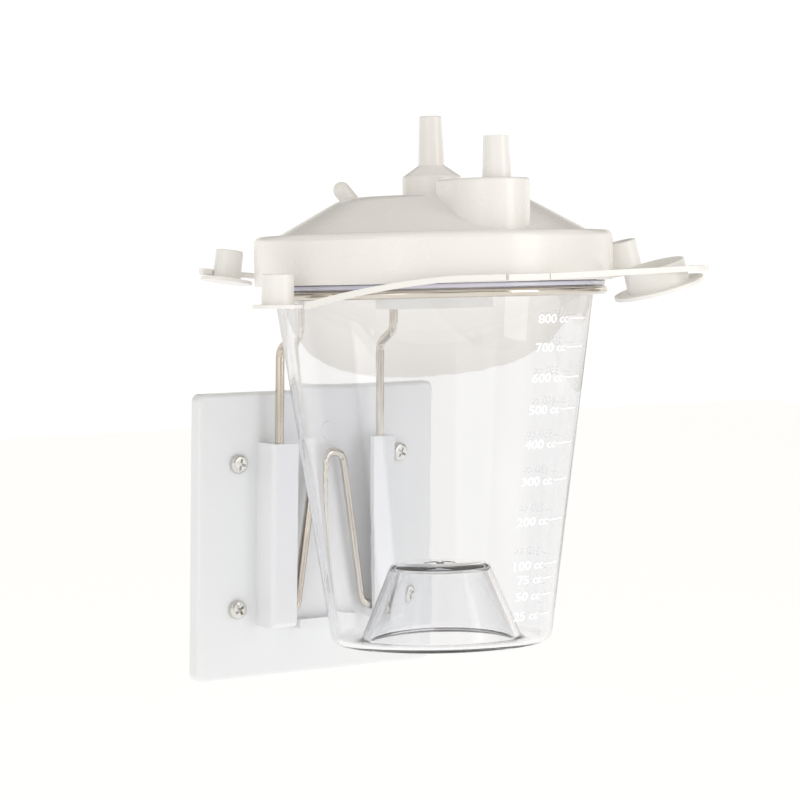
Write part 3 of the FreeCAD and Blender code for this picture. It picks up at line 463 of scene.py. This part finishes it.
@dataclass(frozen=True)
class MouldedFinish:
    """An opaque moulded plastic or rubber with grain, scuffs and a trace of dust, and for some finishes a painted
    glow: the part emits its own tone to look lit where light doesn't reach.
    """

    name: str
    tone: Colour
    shade: Colour
    roughness: float = 0.3
    spread: float = 0.12
    grain_scale: float = 1800.0
    grain_depth: float = 0.000008
    coat: float = 0.0
    scuffed: float = 0.12
    dust: float = 0.04
    alpha: float = 1.0
    # Painted glow: how strongly the part emits its own tone in place of light.
    painted_glow: float = 0.0

    def make(self, kit: ShaderKit) -> bpy.types.Material:
        """Build the material.

        Args:
            kit: the shared groups.

        Returns:
            The material.
        """
        material, tree, shader = new_material(self.name)
        at = add_node(tree, "TexCoord").outputs["Object"]
        body = kit.place(tree, "moulded", {
            "Position": at, "Tone": opaque(self.tone), "Shade": opaque(self.shade),
            "Grain Scale": self.grain_scale, "Roughness": self.roughness, "Spread": self.spread})
        dusted = kit.place(tree, "settled_dust", {
            "Position": at, "Color": body.outputs["Color"], "Amount": self.dust})
        marks = kit.place(tree, "scuffs", {"Position": at, "Amount": self.scuffed})
        rough = add_node(tree, "Math", {0: marks.outputs["Mask"], 1: 0.25,
                                        2: body.outputs["Roughness"]},
                         operation="MULTIPLY_ADD", use_clamp=True)
        cut = add_node(tree, "Math", {0: marks.outputs["Mask"], 1: -0.6, 2: body.outputs["Height"]},
                       operation="MULTIPLY_ADD")
        bump = add_node(tree, "Bump", {"Height": cut.outputs[0], "Strength": 0.35,
                                       "Distance": self.grain_depth})
        tree.links.new(dusted.outputs["Color"], shader.inputs["Base Color"])
        tree.links.new(rough.outputs[0], shader.inputs["Roughness"])
        tree.links.new(bump.outputs[0], shader.inputs["Normal"])
        shader.inputs["Coat Weight"].default_value = self.coat
        shader.inputs["Coat Roughness"].default_value = 0.12
        shader.inputs["IOR"].default_value = 1.5
        shader.inputs["Alpha"].default_value = self.alpha
        # Painted glow: the part emits its own tone, so it looks lit where light doesn't reach it.
        shader.inputs["Emission Color"].default_value = opaque(self.tone)
        shader.inputs["Emission Strength"].default_value = self.painted_glow
        return material


@dataclass(frozen=True)
class MetalFinish:
    """A bright drawn or turned metal with fine lines, stains and scuffs."""

    name: str
    tone: Colour
    stain: Colour
    stretch: tuple[float, float, float]
    roughness: float = 0.12
    spread: float = 0.12
    line_depth: float = 0.000006

    def make(self, kit: ShaderKit) -> bpy.types.Material:
        """Build the material.

        Args:
            kit: the shared groups.

        Returns:
            The material.
        """
        material, tree, shader = new_material(self.name)
        at = add_node(tree, "TexCoord").outputs["Object"]
        body = kit.place(tree, "drawn", {
            "Position": at, "Tone": opaque(self.tone), "Stain": opaque(self.stain),
            "Stretch": self.stretch, "Roughness": self.roughness, "Spread": self.spread})
        marks = kit.place(tree, "scuffs", {"Position": at, "Scale": 160.0, "Amount": 0.3})
        rough = add_node(tree, "Math", {0: marks.outputs["Mask"], 1: 0.2,
                                        2: body.outputs["Roughness"]},
                         operation="MULTIPLY_ADD", use_clamp=True)
        bump = add_node(tree, "Bump", {"Height": body.outputs["Height"], "Strength": 0.3,
                                       "Distance": self.line_depth})
        tree.links.new(body.outputs["Color"], shader.inputs["Base Color"])
        tree.links.new(rough.outputs[0], shader.inputs["Roughness"])
        tree.links.new(bump.outputs[0], shader.inputs["Normal"])
        shader.inputs["Metallic"].default_value = 1.0
        return material


@dataclass(frozen=True)
class ClearFinish:
    """Clear moulded plastic: shallow flow waves, a few scuffs, and a violet depth tint."""

    name: str
    tone: Colour
    depth_tint: Colour
    depth_density: float
    roughness: float = 0.012
    wave_depth: float = 0.00012

    def make(self, kit: ShaderKit) -> bpy.types.Material:
        """Build the material.

        Args:
            kit: the shared groups.

        Returns:
            The material.
        """
        material, tree, shader = new_material(self.name)
        at = add_node(tree, "TexCoord").outputs["Object"]
        marks = kit.place(tree, "scuffs", {"Position": at, "Scale": 90.0, "Amount": 0.25})
        rough = add_node(tree, "Math", {0: marks.outputs["Mask"], 1: 0.22, 2: self.roughness},
                         operation="MULTIPLY_ADD", use_clamp=True)
        waves = kit.place(tree, "flow", {"Position": at})
        bump = add_node(tree, "Bump", {"Height": waves.outputs["Height"], "Strength": 0.25,
                                       "Distance": self.wave_depth})
        tree.links.new(rough.outputs[0], shader.inputs["Roughness"])
        tree.links.new(bump.outputs[0], shader.inputs["Normal"])
        shader.inputs["Base Color"].default_value = opaque(self.tone)
        shader.inputs["Transmission Weight"].default_value = 1.0
        shader.inputs["IOR"].default_value = 1.5
        inside = add_node(tree, "VolumeAbsorption", {"Color": opaque(self.depth_tint),
                                                     "Density": self.depth_density})
        out = next(n for n in tree.nodes if n.bl_idname == "ShaderNodeOutputMaterial")
        tree.links.new(inside.outputs[0], out.inputs["Volume"])
        path = add_node(tree, "LightPath")
        passing = add_node(tree, "Math", {0: path.outputs["Is Shadow Ray"],
                                          1: path.outputs["Is Diffuse Ray"]}, operation="MAXIMUM")
        open_way = add_node(tree, "BsdfTransparent", {"Color": (0.95, 0.95, 0.96, 1.0)})
        mix = add_node(tree, "MixShader", {0: passing.outputs[0], 1: shader.outputs[0],
                                           2: open_way.outputs[0]})
        tree.links.new(mix.outputs[0], out.inputs["Surface"])
        return material


@dataclass
class Finishes:
    """Every finish of the object, made once."""

    kit: ShaderKit
    made: dict[str, bpy.types.Material] = field(default_factory=dict)

    RECIPES = (
        MouldedFinish("plate_plastic", (0.86, 0.872, 0.88), (0.85, 0.862, 0.872), roughness=0.3,
                      grain_scale=1400.0, coat=0.25),
        MouldedFinish("lid_plastic", (0.905, 0.885, 0.85), (0.895, 0.872, 0.835), roughness=0.27,
                      grain_scale=1600.0, coat=0.35),
        MouldedFinish("cap_plastic", (0.92, 0.905, 0.87), (0.91, 0.892, 0.855), roughness=0.34,
                      grain_scale=1800.0, coat=0.15),
        MouldedFinish("seal_rubber", (0.60, 0.61, 0.63), (0.57, 0.58, 0.60), roughness=0.62,
                      grain_scale=2500.0, grain_depth=0.00003),
        # The valve cage and float sit in shade inside the cup; a painted glow brightens them.
        MouldedFinish("valve_plastic", (0.88, 0.88, 0.85), (0.85, 0.85, 0.82), roughness=0.45,
                      grain_scale=1500.0, painted_glow=0.12),
        MouldedFinish("filter_media", (0.86, 0.86, 0.84), (0.74, 0.74, 0.72), roughness=0.9,
                      grain_scale=3800.0, grain_depth=0.00025, scuffed=0.0),
        # The volume marks get a painted glow so they read white against the bright cup rather than shaded.
        MouldedFinish("raised_marks", (0.97, 0.97, 0.97), (0.95, 0.95, 0.95), roughness=0.5,
                      grain_scale=2600.0, scuffed=0.0, dust=0.0, painted_glow=0.24),
        MouldedFinish("faint_marks", (0.93, 0.93, 0.93), (0.90, 0.90, 0.91), roughness=0.5,
                      grain_scale=2600.0, scuffed=0.0, dust=0.0, alpha=0.22, painted_glow=0.1),
        MouldedFinish("flange_tint", (0.70, 0.69, 0.79), (0.66, 0.65, 0.77), roughness=0.18,
                      grain_scale=1400.0, coat=0.6, dust=0.0),
        MetalFinish("bracket_chrome", (0.66, 0.615, 0.55), (0.58, 0.52, 0.44),
                    stretch=(900.0, 900.0, 40.0), roughness=0.06, spread=0.06),
        MetalFinish("screw_steel", (0.72, 0.72, 0.70), (0.60, 0.57, 0.52),
                    stretch=(2600.0, 300.0, 2600.0), roughness=0.16, spread=0.16),
        ClearFinish("clear_plastic", (0.965, 0.968, 0.97), (0.42, 0.42, 0.80), 7.0),
    )

    def build(self) -> None:
        """Make the shared groups, then every finish."""
        self.kit.build()
        for recipe in self.RECIPES:
            self.made[recipe.name] = recipe.make(self.kit)
            log.info("finish %s", recipe.name)

    def dress(self, piece: bpy.types.Object, name: str) -> None:
        """Give a piece or a CAD node a finish.

        Args:
            piece: the object.
            name: the finish's name.
        """
        if not piece.material_slots:
            piece.data.materials.append(None)
        for held in piece.material_slots:
            held.link = "OBJECT"
            held.material = self.made[name]


# ---------------------------------------------------------------------------
# Mesh helpers
# ---------------------------------------------------------------------------
def hang_matrix() -> Matrix:
    """The ring's own frame: its centre, tilted up at the front.

    Returns:
        The matrix from ring-frame metres to the row frame.
    """
    lift = next(j for j in frame["joints"] if j["name"] == "canister_lift")
    up = Vector(lift["axis"]).normalized()
    tilt = math.atan2(up.y, up.z)
    low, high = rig.box("wire_bracket")
    front = low.y + WIRE_WIDE / 2 + RING_RADIUS * math.cos(tilt)
    top = high.z - WIRE_WIDE / 2 - RING_RADIUS * math.sin(tilt)
    return Matrix.Translation((0.0, front, top)) @ Matrix.Rotation(-tilt, 4, "X")


def rounded(points: list[tuple[float, float, float]], steps: int = 6) -> Profile:
    """A profile with arcs at its corners.

    Args:
        points: across, up and corner radius of each point, in millimetres.
        steps: straight pieces in each arc.

    Returns:
        The profile's points, in millimetres.
    """
    made: Profile = []
    for index, (across, up, radius) in enumerate(points):
        corner = Vector((across, up))
        if radius <= 0.0 or index in (0, len(points) - 1):
            made.append((across, up))
            continue
        back = (Vector(points[index - 1][:2]) - corner).normalized()
        on = (Vector(points[index + 1][:2]) - corner).normalized()
        half = back.angle(on) / 2
        setback = radius / math.tan(half)
        centre = corner + (back + on).normalized() * (radius / math.sin(half))
        first = corner + back * setback - centre
        last = corner + on * setback - centre
        turn = first.angle_signed(last)
        for step in range(steps + 1):
            spoke = first.copy()
            spoke.rotate(Matrix.Rotation(-turn * step / steps, 2))
            made.append(tuple(centre + spoke))
    return made


def lathe(profile: Profile, segments: int) -> tuple[list[Vector], list[list[int]]]:
    """Turn a profile about the local Z axis; its first and last points lie on the axis.

    Args:
        profile: radius and height, in millimetres.
        segments: steps round the axis.

    Returns:
        Vertices in metres and faces.
    """
    inner = profile[1:-1]
    vertices = [Vector((0, 0, profile[0][1])) * MM, Vector((0, 0, profile[-1][1])) * MM]
    for radius, height in inner:
        for step in range(segments):
            angle = math.tau * step / segments
            across, along = radius * math.cos(angle), radius * math.sin(angle)
            vertices.append(Vector((across, along, height)) * MM)
    faces = []
    last = 2 + (len(inner) - 1) * segments
    for step in range(segments):
        after = (step + 1) % segments
        faces.append([0, 2 + after, 2 + step])
        faces.append([1, last + step, last + after])
        for row in range(len(inner) - 1):
            low = 2 + row * segments
            high = low + segments
            faces.append([low + step, low + after, high + after, high + step])
    return vertices, faces


def new_piece(
    name: str, vertices: list[Vector], faces: list[list[int]], place: Matrix
) -> bpy.types.Object:
    """Link a mesh object whose vertices are already in the row frame.

    Args:
        name: the piece's name.
        vertices: points in the local frame, in metres.
        faces: vertex indices.
        place: local to row frame.

    Returns:
        The object.
    """
    mesh = bpy.data.meshes.new(name)
    mesh.from_pydata([place @ v for v in vertices], [], faces)
    mesh.validate()
    mesh.shade_smooth()
    mesh.set_sharp_from_angle(angle=SHARP_ANGLE)
    mesh.update()
    piece = bpy.data.objects.new(name, mesh)
    bpy.context.scene.collection.objects.link(piece)
    return piece


# ---------------------------------------------------------------------------
# Sub-assemblies
# ---------------------------------------------------------------------------
@dataclass
class WallSide:
    """The wall plate, its screws and the wire bracket: CAD shapes with their finishes."""

    finishes: Finishes

    def build(self) -> None:
        """Dress the carried CAD nodes."""
        for node, finish in (("wall_plate", "plate_plastic"), ("plate_screws", "screw_steel"),
                             ("wire_bracket", "bracket_chrome")):
            self.finishes.dress(frame["nodes"][node], finish)
            log.info("%s keeps its CAD shape", node)


@dataclass
class ClearCup:
    """The clear cup, turned smooth, with its moulded gate mark and volume marks."""

    finishes: Finishes
    place: Matrix
    deep: float = 130.9
    foot: float = 41.0
    mouth: float = 59.6
    wall: float = 2.0
    punt_top: float = 16.8
    punt_base: float = 28.4
    punt_tall: float = 27.9
    top_mark_ml: int = 800
    total_ml: int = 950
    mark_tall: float = 3.3
    mark_proud: float = 0.28
    mark_sunk: float = 0.05
    mark_bevel: float = 0.08
    mark_steps: int = 10
    flange_from: float = 63.0
    figure_size_share: float = 1.38
    figure_stretch: float = 1.4
    figure_gap: float = 1.6
    mark_thick: float = 0.5
    small_marks_ml: tuple[int, ...] = (25, 50, 75)
    small_mark_share: float = 0.75
    segments: int = 240

    def section(self) -> Profile:
        """The cup's section, from the axis under the raised cone round to the axis above it.

        Returns:
            The profile, in millimetres.
        """
        low = -self.deep
        cone = low + self.punt_tall
        w = self.wall
        return rounded([
            (0.0, cone - 0.1, 0.0), (1.4, cone - 0.1, 0.0), (1.7, cone, 0.0),
            (self.punt_top, cone, 2.4), (self.punt_base, low, 0.7), (self.foot, low, 4.5),
            (self.mouth, 0.0, 0.0), (self.mouth, 1.85, 0.5), (64.0, 1.85, 0.5), (64.0, 3.6, 0.5),
            (60.6, 3.6, 0.6), (60.6, 17.3, 0.6), (60.6 - w * 1.15, 17.3, 0.6),
            (self.mouth - w, 0.0, 0.0), (self.foot - w, low + w, 2.4),
            (self.punt_base + w * 0.9, low + w, 1.6), (self.punt_top + w * 0.7, cone + w, 2.4),
            (6.0, cone + w, 0.0), (5.7, cone + w - 0.25, 0.0), (1.6, cone + w - 0.25, 0.0),
            (1.2, cone + w + 0.8, 0.3), (0.0, cone + w + 0.8, 0.0),
        ])

    def inner_radius(self, up: float) -> float:
        """Radius of the cup's inside wall at a height."""
        low = -self.deep + self.wall
        share = (up - low) / -low
        return self.foot - self.wall + (self.mouth - self.foot) * share

    def outer_radius(self, up: float) -> float:
        """Radius of the cup's outside wall at a height."""
        return self.foot + (self.mouth - self.foot) * (up + self.deep) / self.deep

    def height_of(self, millilitres: float) -> float:
        """How high a volume of liquid stands.

        Args:
            millilitres: the volume.

        Returns:
            Its surface's height in the ring frame, in millimetres.
        """
        up = -self.deep + self.wall
        cone_low, cone_high = up, up + self.punt_tall
        held, step = 0.0, 0.1
        while held < millilitres * CUBIC_MM_PER_ML:
            middle = up + step / 2
            solid = 0.0
            if middle < cone_high:
                share = (middle - cone_low) / self.punt_tall
                solid = self.punt_base + 1.8 - (self.punt_base - self.punt_top + 0.4) * share
            held += math.pi * (self.inner_radius(middle) ** 2 - solid ** 2) * step
            up += step
        return up

    def wrap(self, across: float, up: float, proud: float, around: float, level: float) -> Vector:
        """Lay a flat point on the cup's outside.

        Args:
            across: distance to the right of the anchor, in millimetres.
            up: height above the level, in millimetres.
            proud: distance out from the wall, in millimetres.
            around: the anchor's angle from the front, towards the right, in radians.
            level: the level, in millimetres.

        Returns:
            The point in the ring frame, in metres.
        """
        radius = self.outer_radius(level + up) + proud
        angle = around + across / self.outer_radius(level)
        return Vector((radius * math.sin(angle), -radius * math.cos(angle), level + up)) * MM

    def bar(self, start: float, long: float, tall: float, around: float, level: float,
            mesh: tuple[list[Vector], list[list[int]]]) -> None:
        """Add one raised line that follows the wall, its top edges drawn in.

        Args:
            start: left end, in millimetres from the anchor.
            long: length, in millimetres.
            tall: width, in millimetres.
            around: the anchor's angle.
            level: height.
            mesh: the vertices and faces that it is added to.
        """
        vertices, faces = mesh
        steps = self.mark_steps
        first = len(vertices)
        half = tall / 2
        shelf = half - self.mark_bevel
        for step in range(steps + 1):
            across = start + long * step / steps
            inset = self.mark_bevel if step in (0, steps) else 0.0
            shift = inset if step == 0 else -inset
            for up, proud, move in ((-half, -self.mark_sunk, 0.0), (-shelf, self.mark_proud, shift),
                                    (shelf, self.mark_proud, shift), (half, -self.mark_sunk, 0.0)):
                vertices.append(self.wrap(across + move, up, proud, around, level))
        for step in range(steps):
            row = first + step * 4
            for side in range(4):
                nxt = (side + 1) % 4
                faces.append([row + side, row + 4 + side, row + 4 + nxt, row + nxt])
        faces.append([first, first + 1, first + 2, first + 3])
        end = first + steps * 4
        faces.append([end + 3, end + 2, end + 1, end])

    def figures(self, words: str, anchor: float, align: str, around: float, level: float,
                mesh: tuple[list[Vector], list[list[int]]]) -> None:
        """Add raised figures that follow the wall.

        Args:
            words: the figures and unit.
            anchor: where they start or end, in millimetres from the anchor angle.
            align: LEFT or RIGHT of that place.
            around: the anchor's angle.
            level: height of their middle.
            mesh: the vertices and faces that they are added to.
        """
        vertices, faces = mesh
        curve = bpy.data.curves.new("figures", "FONT")
        curve.body = words
        curve.size = self.mark_tall * self.figure_size_share
        curve.extrude = self.mark_proud / 2
        curve.resolution_u = 3
        curve.align_x = align
        curve.align_y = "CENTER"
        holder = bpy.data.objects.new("figures", curve)
        bpy.context.scene.collection.objects.link(holder)
        bpy.context.view_layer.update()
        evaluated = holder.evaluated_get(bpy.context.evaluated_depsgraph_get())
        drawn = bpy.data.meshes.new_from_object(evaluated)
        first = len(vertices)
        for vertex in drawn.vertices:
            point = vertex.co
            out = self.mark_proud if point.z > 0 else -self.mark_sunk
            across = anchor + point.x * self.figure_stretch
            vertices.append(self.wrap(across, point.y, out, around, level))
        faces.extend([[first + i for i in face.vertices] for face in drawn.polygons])
        bpy.data.objects.remove(holder)
        bpy.data.curves.remove(curve)
        bpy.data.meshes.remove(drawn)

    def scale(
        self, name: str, around_deg: float, long: float, side: FigureSide
    ) -> bpy.types.Object:
        """One column of volume marks with its figures.

        Args:
            name: the piece's name.
            around_deg: angle of the marks' inner end, from the front towards the right.
            long: length of the long marks, in millimetres.
            side: where the figures stand. Those on the right count down.

        Returns:
            The piece.
        """
        mesh: tuple[list[Vector], list[list[int]]] = ([], [])
        around = math.radians(around_deg)
        counts_down = side is FigureSide.RIGHT
        for volume in [*self.small_marks_ml, *range(100, self.top_mark_ml + 1, 100)]:
            level = self.height_of(volume)
            small = volume in self.small_marks_ml
            share = self.outer_radius(level) / self.mouth
            reach = long * share * (self.small_mark_share if small else 1.0)
            self.bar(-reach if counts_down else 0.0, reach, self.mark_thick, around, level, mesh)
            if counts_down and small:
                continue
            shown = self.total_ml - volume if counts_down else volume
            gap = self.figure_gap if counts_down else -self.figure_gap
            self.figures(f"{shown} cc", gap, side.value, around, level, mesh)
        return new_piece(name, *mesh, self.place)

    def tint_flange(self, shell: bpy.types.Object) -> None:
        """Give the flange's faces the violet cast of thick clear plastic seen edge on.

        Args:
            shell: the cup.
        """
        shell.data.materials.append(None)
        held = shell.material_slots[1]
        held.link = "OBJECT"
        held.material = self.finishes.made["flange_tint"]
        back = self.place.inverted()
        for face in shell.data.polygons:
            local = back @ face.center
            if local.xy.length > self.flange_from * MM:
                face.material_index = 1

    def build(self) -> None:
        """Make the cup and both scales, and put them on the canister's body."""
        vertices, faces = lathe(self.section(), self.segments)
        shell = new_piece("clear_cup", vertices, faces, self.place)
        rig.replaces(shell, "canister")
        pieces = [(shell, "clear_plastic"),
                  (self.scale("volume_marks_front", 21.5, 14.0, FigureSide.LEFT), "raised_marks"),
                  (self.scale("volume_marks_side", 79.0, 12.6, FigureSide.RIGHT), "faint_marks")]
        for piece, finish in pieces:
            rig.slot(piece, Slot.CLEAR.value)
            self.finishes.dress(piece, finish)
            if piece is shell:
                self.tint_flange(shell)
            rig.ride(piece, "canister")
            log.info("%s: %d faces", piece.name, len(piece.data.polygons))


@dataclass
class LidSide:
    """The lid, its seal, valve, filter, straps and caps."""

    finishes: Finishes
    quarters: tuple[str, ...] = ("front_left", "front_right", "back_left", "back_right")

    def build(self) -> None:
        """Dress the carried CAD nodes."""
        dressed = {"lid": "lid_plastic", "lid_seal": "seal_rubber", "valve_cage": "valve_plastic",
                   "shutoff_float": "valve_plastic", "float_seal": "seal_rubber",
                   "vacuum_filter": "filter_media"}
        for quarter in self.quarters:
            dressed[f"strap_{quarter}"] = "cap_plastic"
            dressed[f"cap_{quarter}"] = "cap_plastic"
        for node, finish in dressed.items():
            self.finishes.dress(frame["nodes"][node], finish)
        log.info("%d lid nodes keep their CAD shapes", len(dressed))


@dataclass
class Studio:
    """Floor, lights, sky and camera."""

    floor_drop: float = 0.24
    floor_size: float = 6.0
    camera_at: tuple[float, float, float] = (-0.68424, -1.00499, 0.15621)
    yaw: float = 35.90
    pitch: float = -4.90
    roll: float = 0.77
    lens: float = 138.47

    def floor(self) -> None:
        """A large plain pale floor below the object."""
        half = self.floor_size / 2
        mesh = bpy.data.meshes.new("floor")
        low = CAD_BOX[0].z - self.floor_drop
        corners = [(-half, -half, low), (half, -half, low), (half, half, low), (-half, half, low)]
        mesh.from_pydata(corners, [], [[0, 1, 2, 3]])
        ground = bpy.data.objects.new("floor", mesh)
        bpy.context.scene.collection.objects.link(ground)
        material, _, shader = new_material("pale_floor")
        shader.inputs["Base Color"].default_value = (0.80, 0.80, 0.80, 1.0)
        shader.inputs["Emission Color"].default_value = (1.0, 1.0, 1.0, 1.0)
        shader.inputs["Emission Strength"].default_value = 0.5
        shader.inputs["Roughness"].default_value = 0.9
        shader.inputs["Specular IOR Level"].default_value = 0.1
        mesh.materials.append(material)
        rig.stage(ground)

    def sky(self) -> None:
        """A white room: plain white behind, and a soft gradient for what things reflect."""
        world = bpy.data.worlds.new("white_room")
        bpy.context.scene.world = world
        world.use_nodes = True
        tree = world.node_tree
        tree.nodes.clear()
        toward = add_node(tree, "TexCoord")
        parts = add_node(tree, "SeparateXYZ", {0: toward.outputs["Generated"]})
        ramp = add_node(tree, "ValToRGB", {0: parts.outputs["Z"]})
        share = add_node(tree, "MapRange", {"Value": parts.outputs["Z"], "From Min": -1.0,
                                            "From Max": 1.0})
        tree.links.new(share.outputs["Result"], ramp.inputs[0])
        stops = ((0.0, (0.88, 0.88, 0.88)), (0.48, (1.03, 1.03, 1.03)), (0.58, (0.99, 0.99, 0.98)),
                 (0.74, (0.74, 0.725, 0.70)), (1.0, (0.67, 0.66, 0.64)))
        ramp.color_ramp.elements[0].position = stops[0][0]
        ramp.color_ramp.elements[0].color = opaque(stops[0][1])
        ramp.color_ramp.elements[1].position = stops[-1][0]
        ramp.color_ramp.elements[1].color = opaque(stops[-1][1])
        for position, colour in stops[1:-1]:
            ramp.color_ramp.elements.new(position).color = opaque(colour)
        strips = self.strips(tree, parts)
        toned = add_node(tree, "MixRGB", {"Fac": 1.0, "Color1": ramp.outputs[0], "Color2": strips},
                         blend_type="MULTIPLY")
        room = add_node(tree, "Background", {"Color": toned.outputs[0], "Strength": 1.0})
        white = add_node(tree, "Background", {"Color": (1.0, 1.0, 1.0, 1.0), "Strength": 1.05})
        path = add_node(tree, "LightPath")
        seen = add_node(tree, "MixShader", {0: path.outputs["Is Glossy Ray"], 1: room.outputs[0],
                                            2: self.mirrored(tree, share, strips)})
        mix = add_node(tree, "MixShader", {0: path.outputs["Is Camera Ray"], 1: seen.outputs[0],
                                           2: white.outputs[0]})
        out = add_node(tree, "OutputWorld")
        tree.links.new(mix.outputs[0], out.inputs["Surface"])

    @staticmethod
    def mirrored(tree: bpy.types.NodeTree, height: bpy.types.Node,
                 strips: bpy.types.NodeSocket) -> bpy.types.NodeSocket:
        """The room as bright metal mirrors it: light and dark levels one over another.

        Args:
            tree: the world's node tree.
            height: the node with the direction's height from 0 to 1.
            strips: the upright shades.

        Returns:
            The background's socket.
        """
        ramp = add_node(tree, "ValToRGB", {0: height.outputs["Result"]})
        levels = ((0.0, 0.55), (0.30, 0.30), (0.42, 0.34), (0.47, 1.25), (0.56, 1.35), (0.61, 0.42),
                  (0.70, 0.30), (0.80, 0.95), (1.0, 0.70))
        for element, (position, shade) in zip(ramp.color_ramp.elements, (levels[0], levels[-1])):
            element.position = position
            element.color = (shade, shade * 0.97, shade * 0.93, 1.0)
        for position, shade in levels[1:-1]:
            ramp.color_ramp.elements.new(position).color = (shade, shade * 0.97, shade * 0.93, 1.0)
        toned = add_node(tree, "MixRGB", {"Fac": 1.0, "Color1": ramp.outputs[0], "Color2": strips},
                         blend_type="MULTIPLY")
        return add_node(tree, "Background", {"Color": toned.outputs[0], "Strength": 1.0}).outputs[0]

    @staticmethod
    def strips(tree: bpy.types.NodeTree, parts: bpy.types.Node) -> bpy.types.NodeSocket:
        """Soft upright shades round the room, for glass and metal to pick up.

        Args:
            tree: the world's node tree.
            parts: the node that splits the direction.

        Returns:
            The socket with their colour.
        """
        heading = add_node(tree, "Math", {0: parts.outputs["X"], 1: parts.outputs["Y"]},
                           operation="ARCTAN2")
        share = add_node(tree, "MapRange", {"Value": heading.outputs[0], "From Min": -math.pi,
                                            "From Max": math.pi})
        ramp = add_node(tree, "ValToRGB", {0: share.outputs["Result"]})
        ramp.color_ramp.interpolation = "EASE"
        shades = ((-180.0, 1.0), (-150.0, 0.72), (-128.0, 1.08), (-104.0, 0.62), (-70.0, 1.0),
                  (-40.0, 0.58), (-8.0, 0.98), (14.0, 0.80), (36.0, 0.86), (56.0, 0.76), (78.0, 1.0),
                  (108.0, 0.55), (140.0, 1.05), (160.0, 0.80), (180.0, 1.0))
        places = [(0.5 + heading_deg / 360.0, shade) for heading_deg, shade in shades]
        for element, (position, shade) in zip(ramp.color_ramp.elements, (places[0], places[-1])):
            element.position = position
            element.color = (shade, shade * 0.99, shade * 0.975, 1.0)
        for position, shade in places[1:-1]:
            ramp.color_ramp.elements.new(position).color = (shade, shade * 0.99, shade * 0.975, 1.0)
        return ramp.outputs[0]

    def light(self, name: str, at: Colour, look: Colour, size: tuple[float, float], power: float,
              colour: Colour) -> None:
        """One soft box.

        Args:
            name: its name.
            at: its centre.
            look: the point it faces.
            size: width and height.
            power: watts.
            colour: its colour.
        """
        data = bpy.data.lights.new(name, "AREA")
        data.shape = "RECTANGLE"
        data.size, data.size_y = size
        data.energy = power
        data.color = colour
        lamp = bpy.data.objects.new(name, data)
        lamp.location = at
        lamp.rotation_mode = "QUATERNION"
        lamp.rotation_quaternion = (Vector(look) - Vector(at)).to_track_quat("-Z", "Y")
        bpy.context.scene.collection.objects.link(lamp)

    def camera(self) -> None:
        """The camera, level with the lid and to the left of the object."""
        yaw, pitch, roll = (math.radians(a) for a in (self.yaw, self.pitch, self.roll))
        level = math.cos(pitch)
        ahead = Vector((math.sin(yaw) * level, math.cos(yaw) * level, math.sin(pitch)))
        right = Vector((math.cos(yaw), -math.sin(yaw), 0.0))
        up = right.cross(ahead)
        turned_right = right * math.cos(roll) + up * math.sin(roll)
        turned_up = up * math.cos(roll) - right * math.sin(roll)
        data = bpy.data.cameras.new("camera")
        data.sensor_width = 36.0
        data.lens = self.lens
        data.clip_start, data.clip_end = 0.05, 20.0
        camera = bpy.data.objects.new("camera", data)
        turn = Matrix((turned_right, turned_up, -ahead)).transposed().to_4x4()
        camera.matrix_world = Matrix.Translation(self.camera_at) @ turn
        bpy.context.scene.collection.objects.link(camera)
        bpy.context.scene.camera = camera

    def build(self) -> None:
        """Set up everything that isn't the object."""
        self.floor()
        self.sky()
        centre = (0.0, -0.07, 0.06)
        self.light("key_right", (0.55, -1.3, 0.45), centre, (0.5, 1.1), 3.4, (1.0, 0.995, 0.98))
        self.light("fill_left", (-1.3, -0.5, 0.5), centre, (0.9, 1.2), 2.2, (0.98, 0.99, 1.0))
        self.camera()
        settings = bpy.context.scene.view_settings
        settings.view_transform = "Standard"
        settings.look = "None"


def main() -> None:
    """Build every sub-assembly in order, then write the sizes."""
    finishes = Finishes(ShaderKit())
    finishes.build()
    WallSide(finishes).build()
    ClearCup(finishes, hang_matrix()).build()
    LidSide(finishes).build()
    Studio().build()
    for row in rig.table()["pieces"]:
        log.info("%s rides on %s", row["piece"], ", ".join(row["bodies"]))
    with open("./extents.json", "w") as out:
        json.dump({"cad": [list(p) for p in CAD_BOX], "visual": [list(p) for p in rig.bounds()]}, out)


if __name__ == "__main__":
    main()
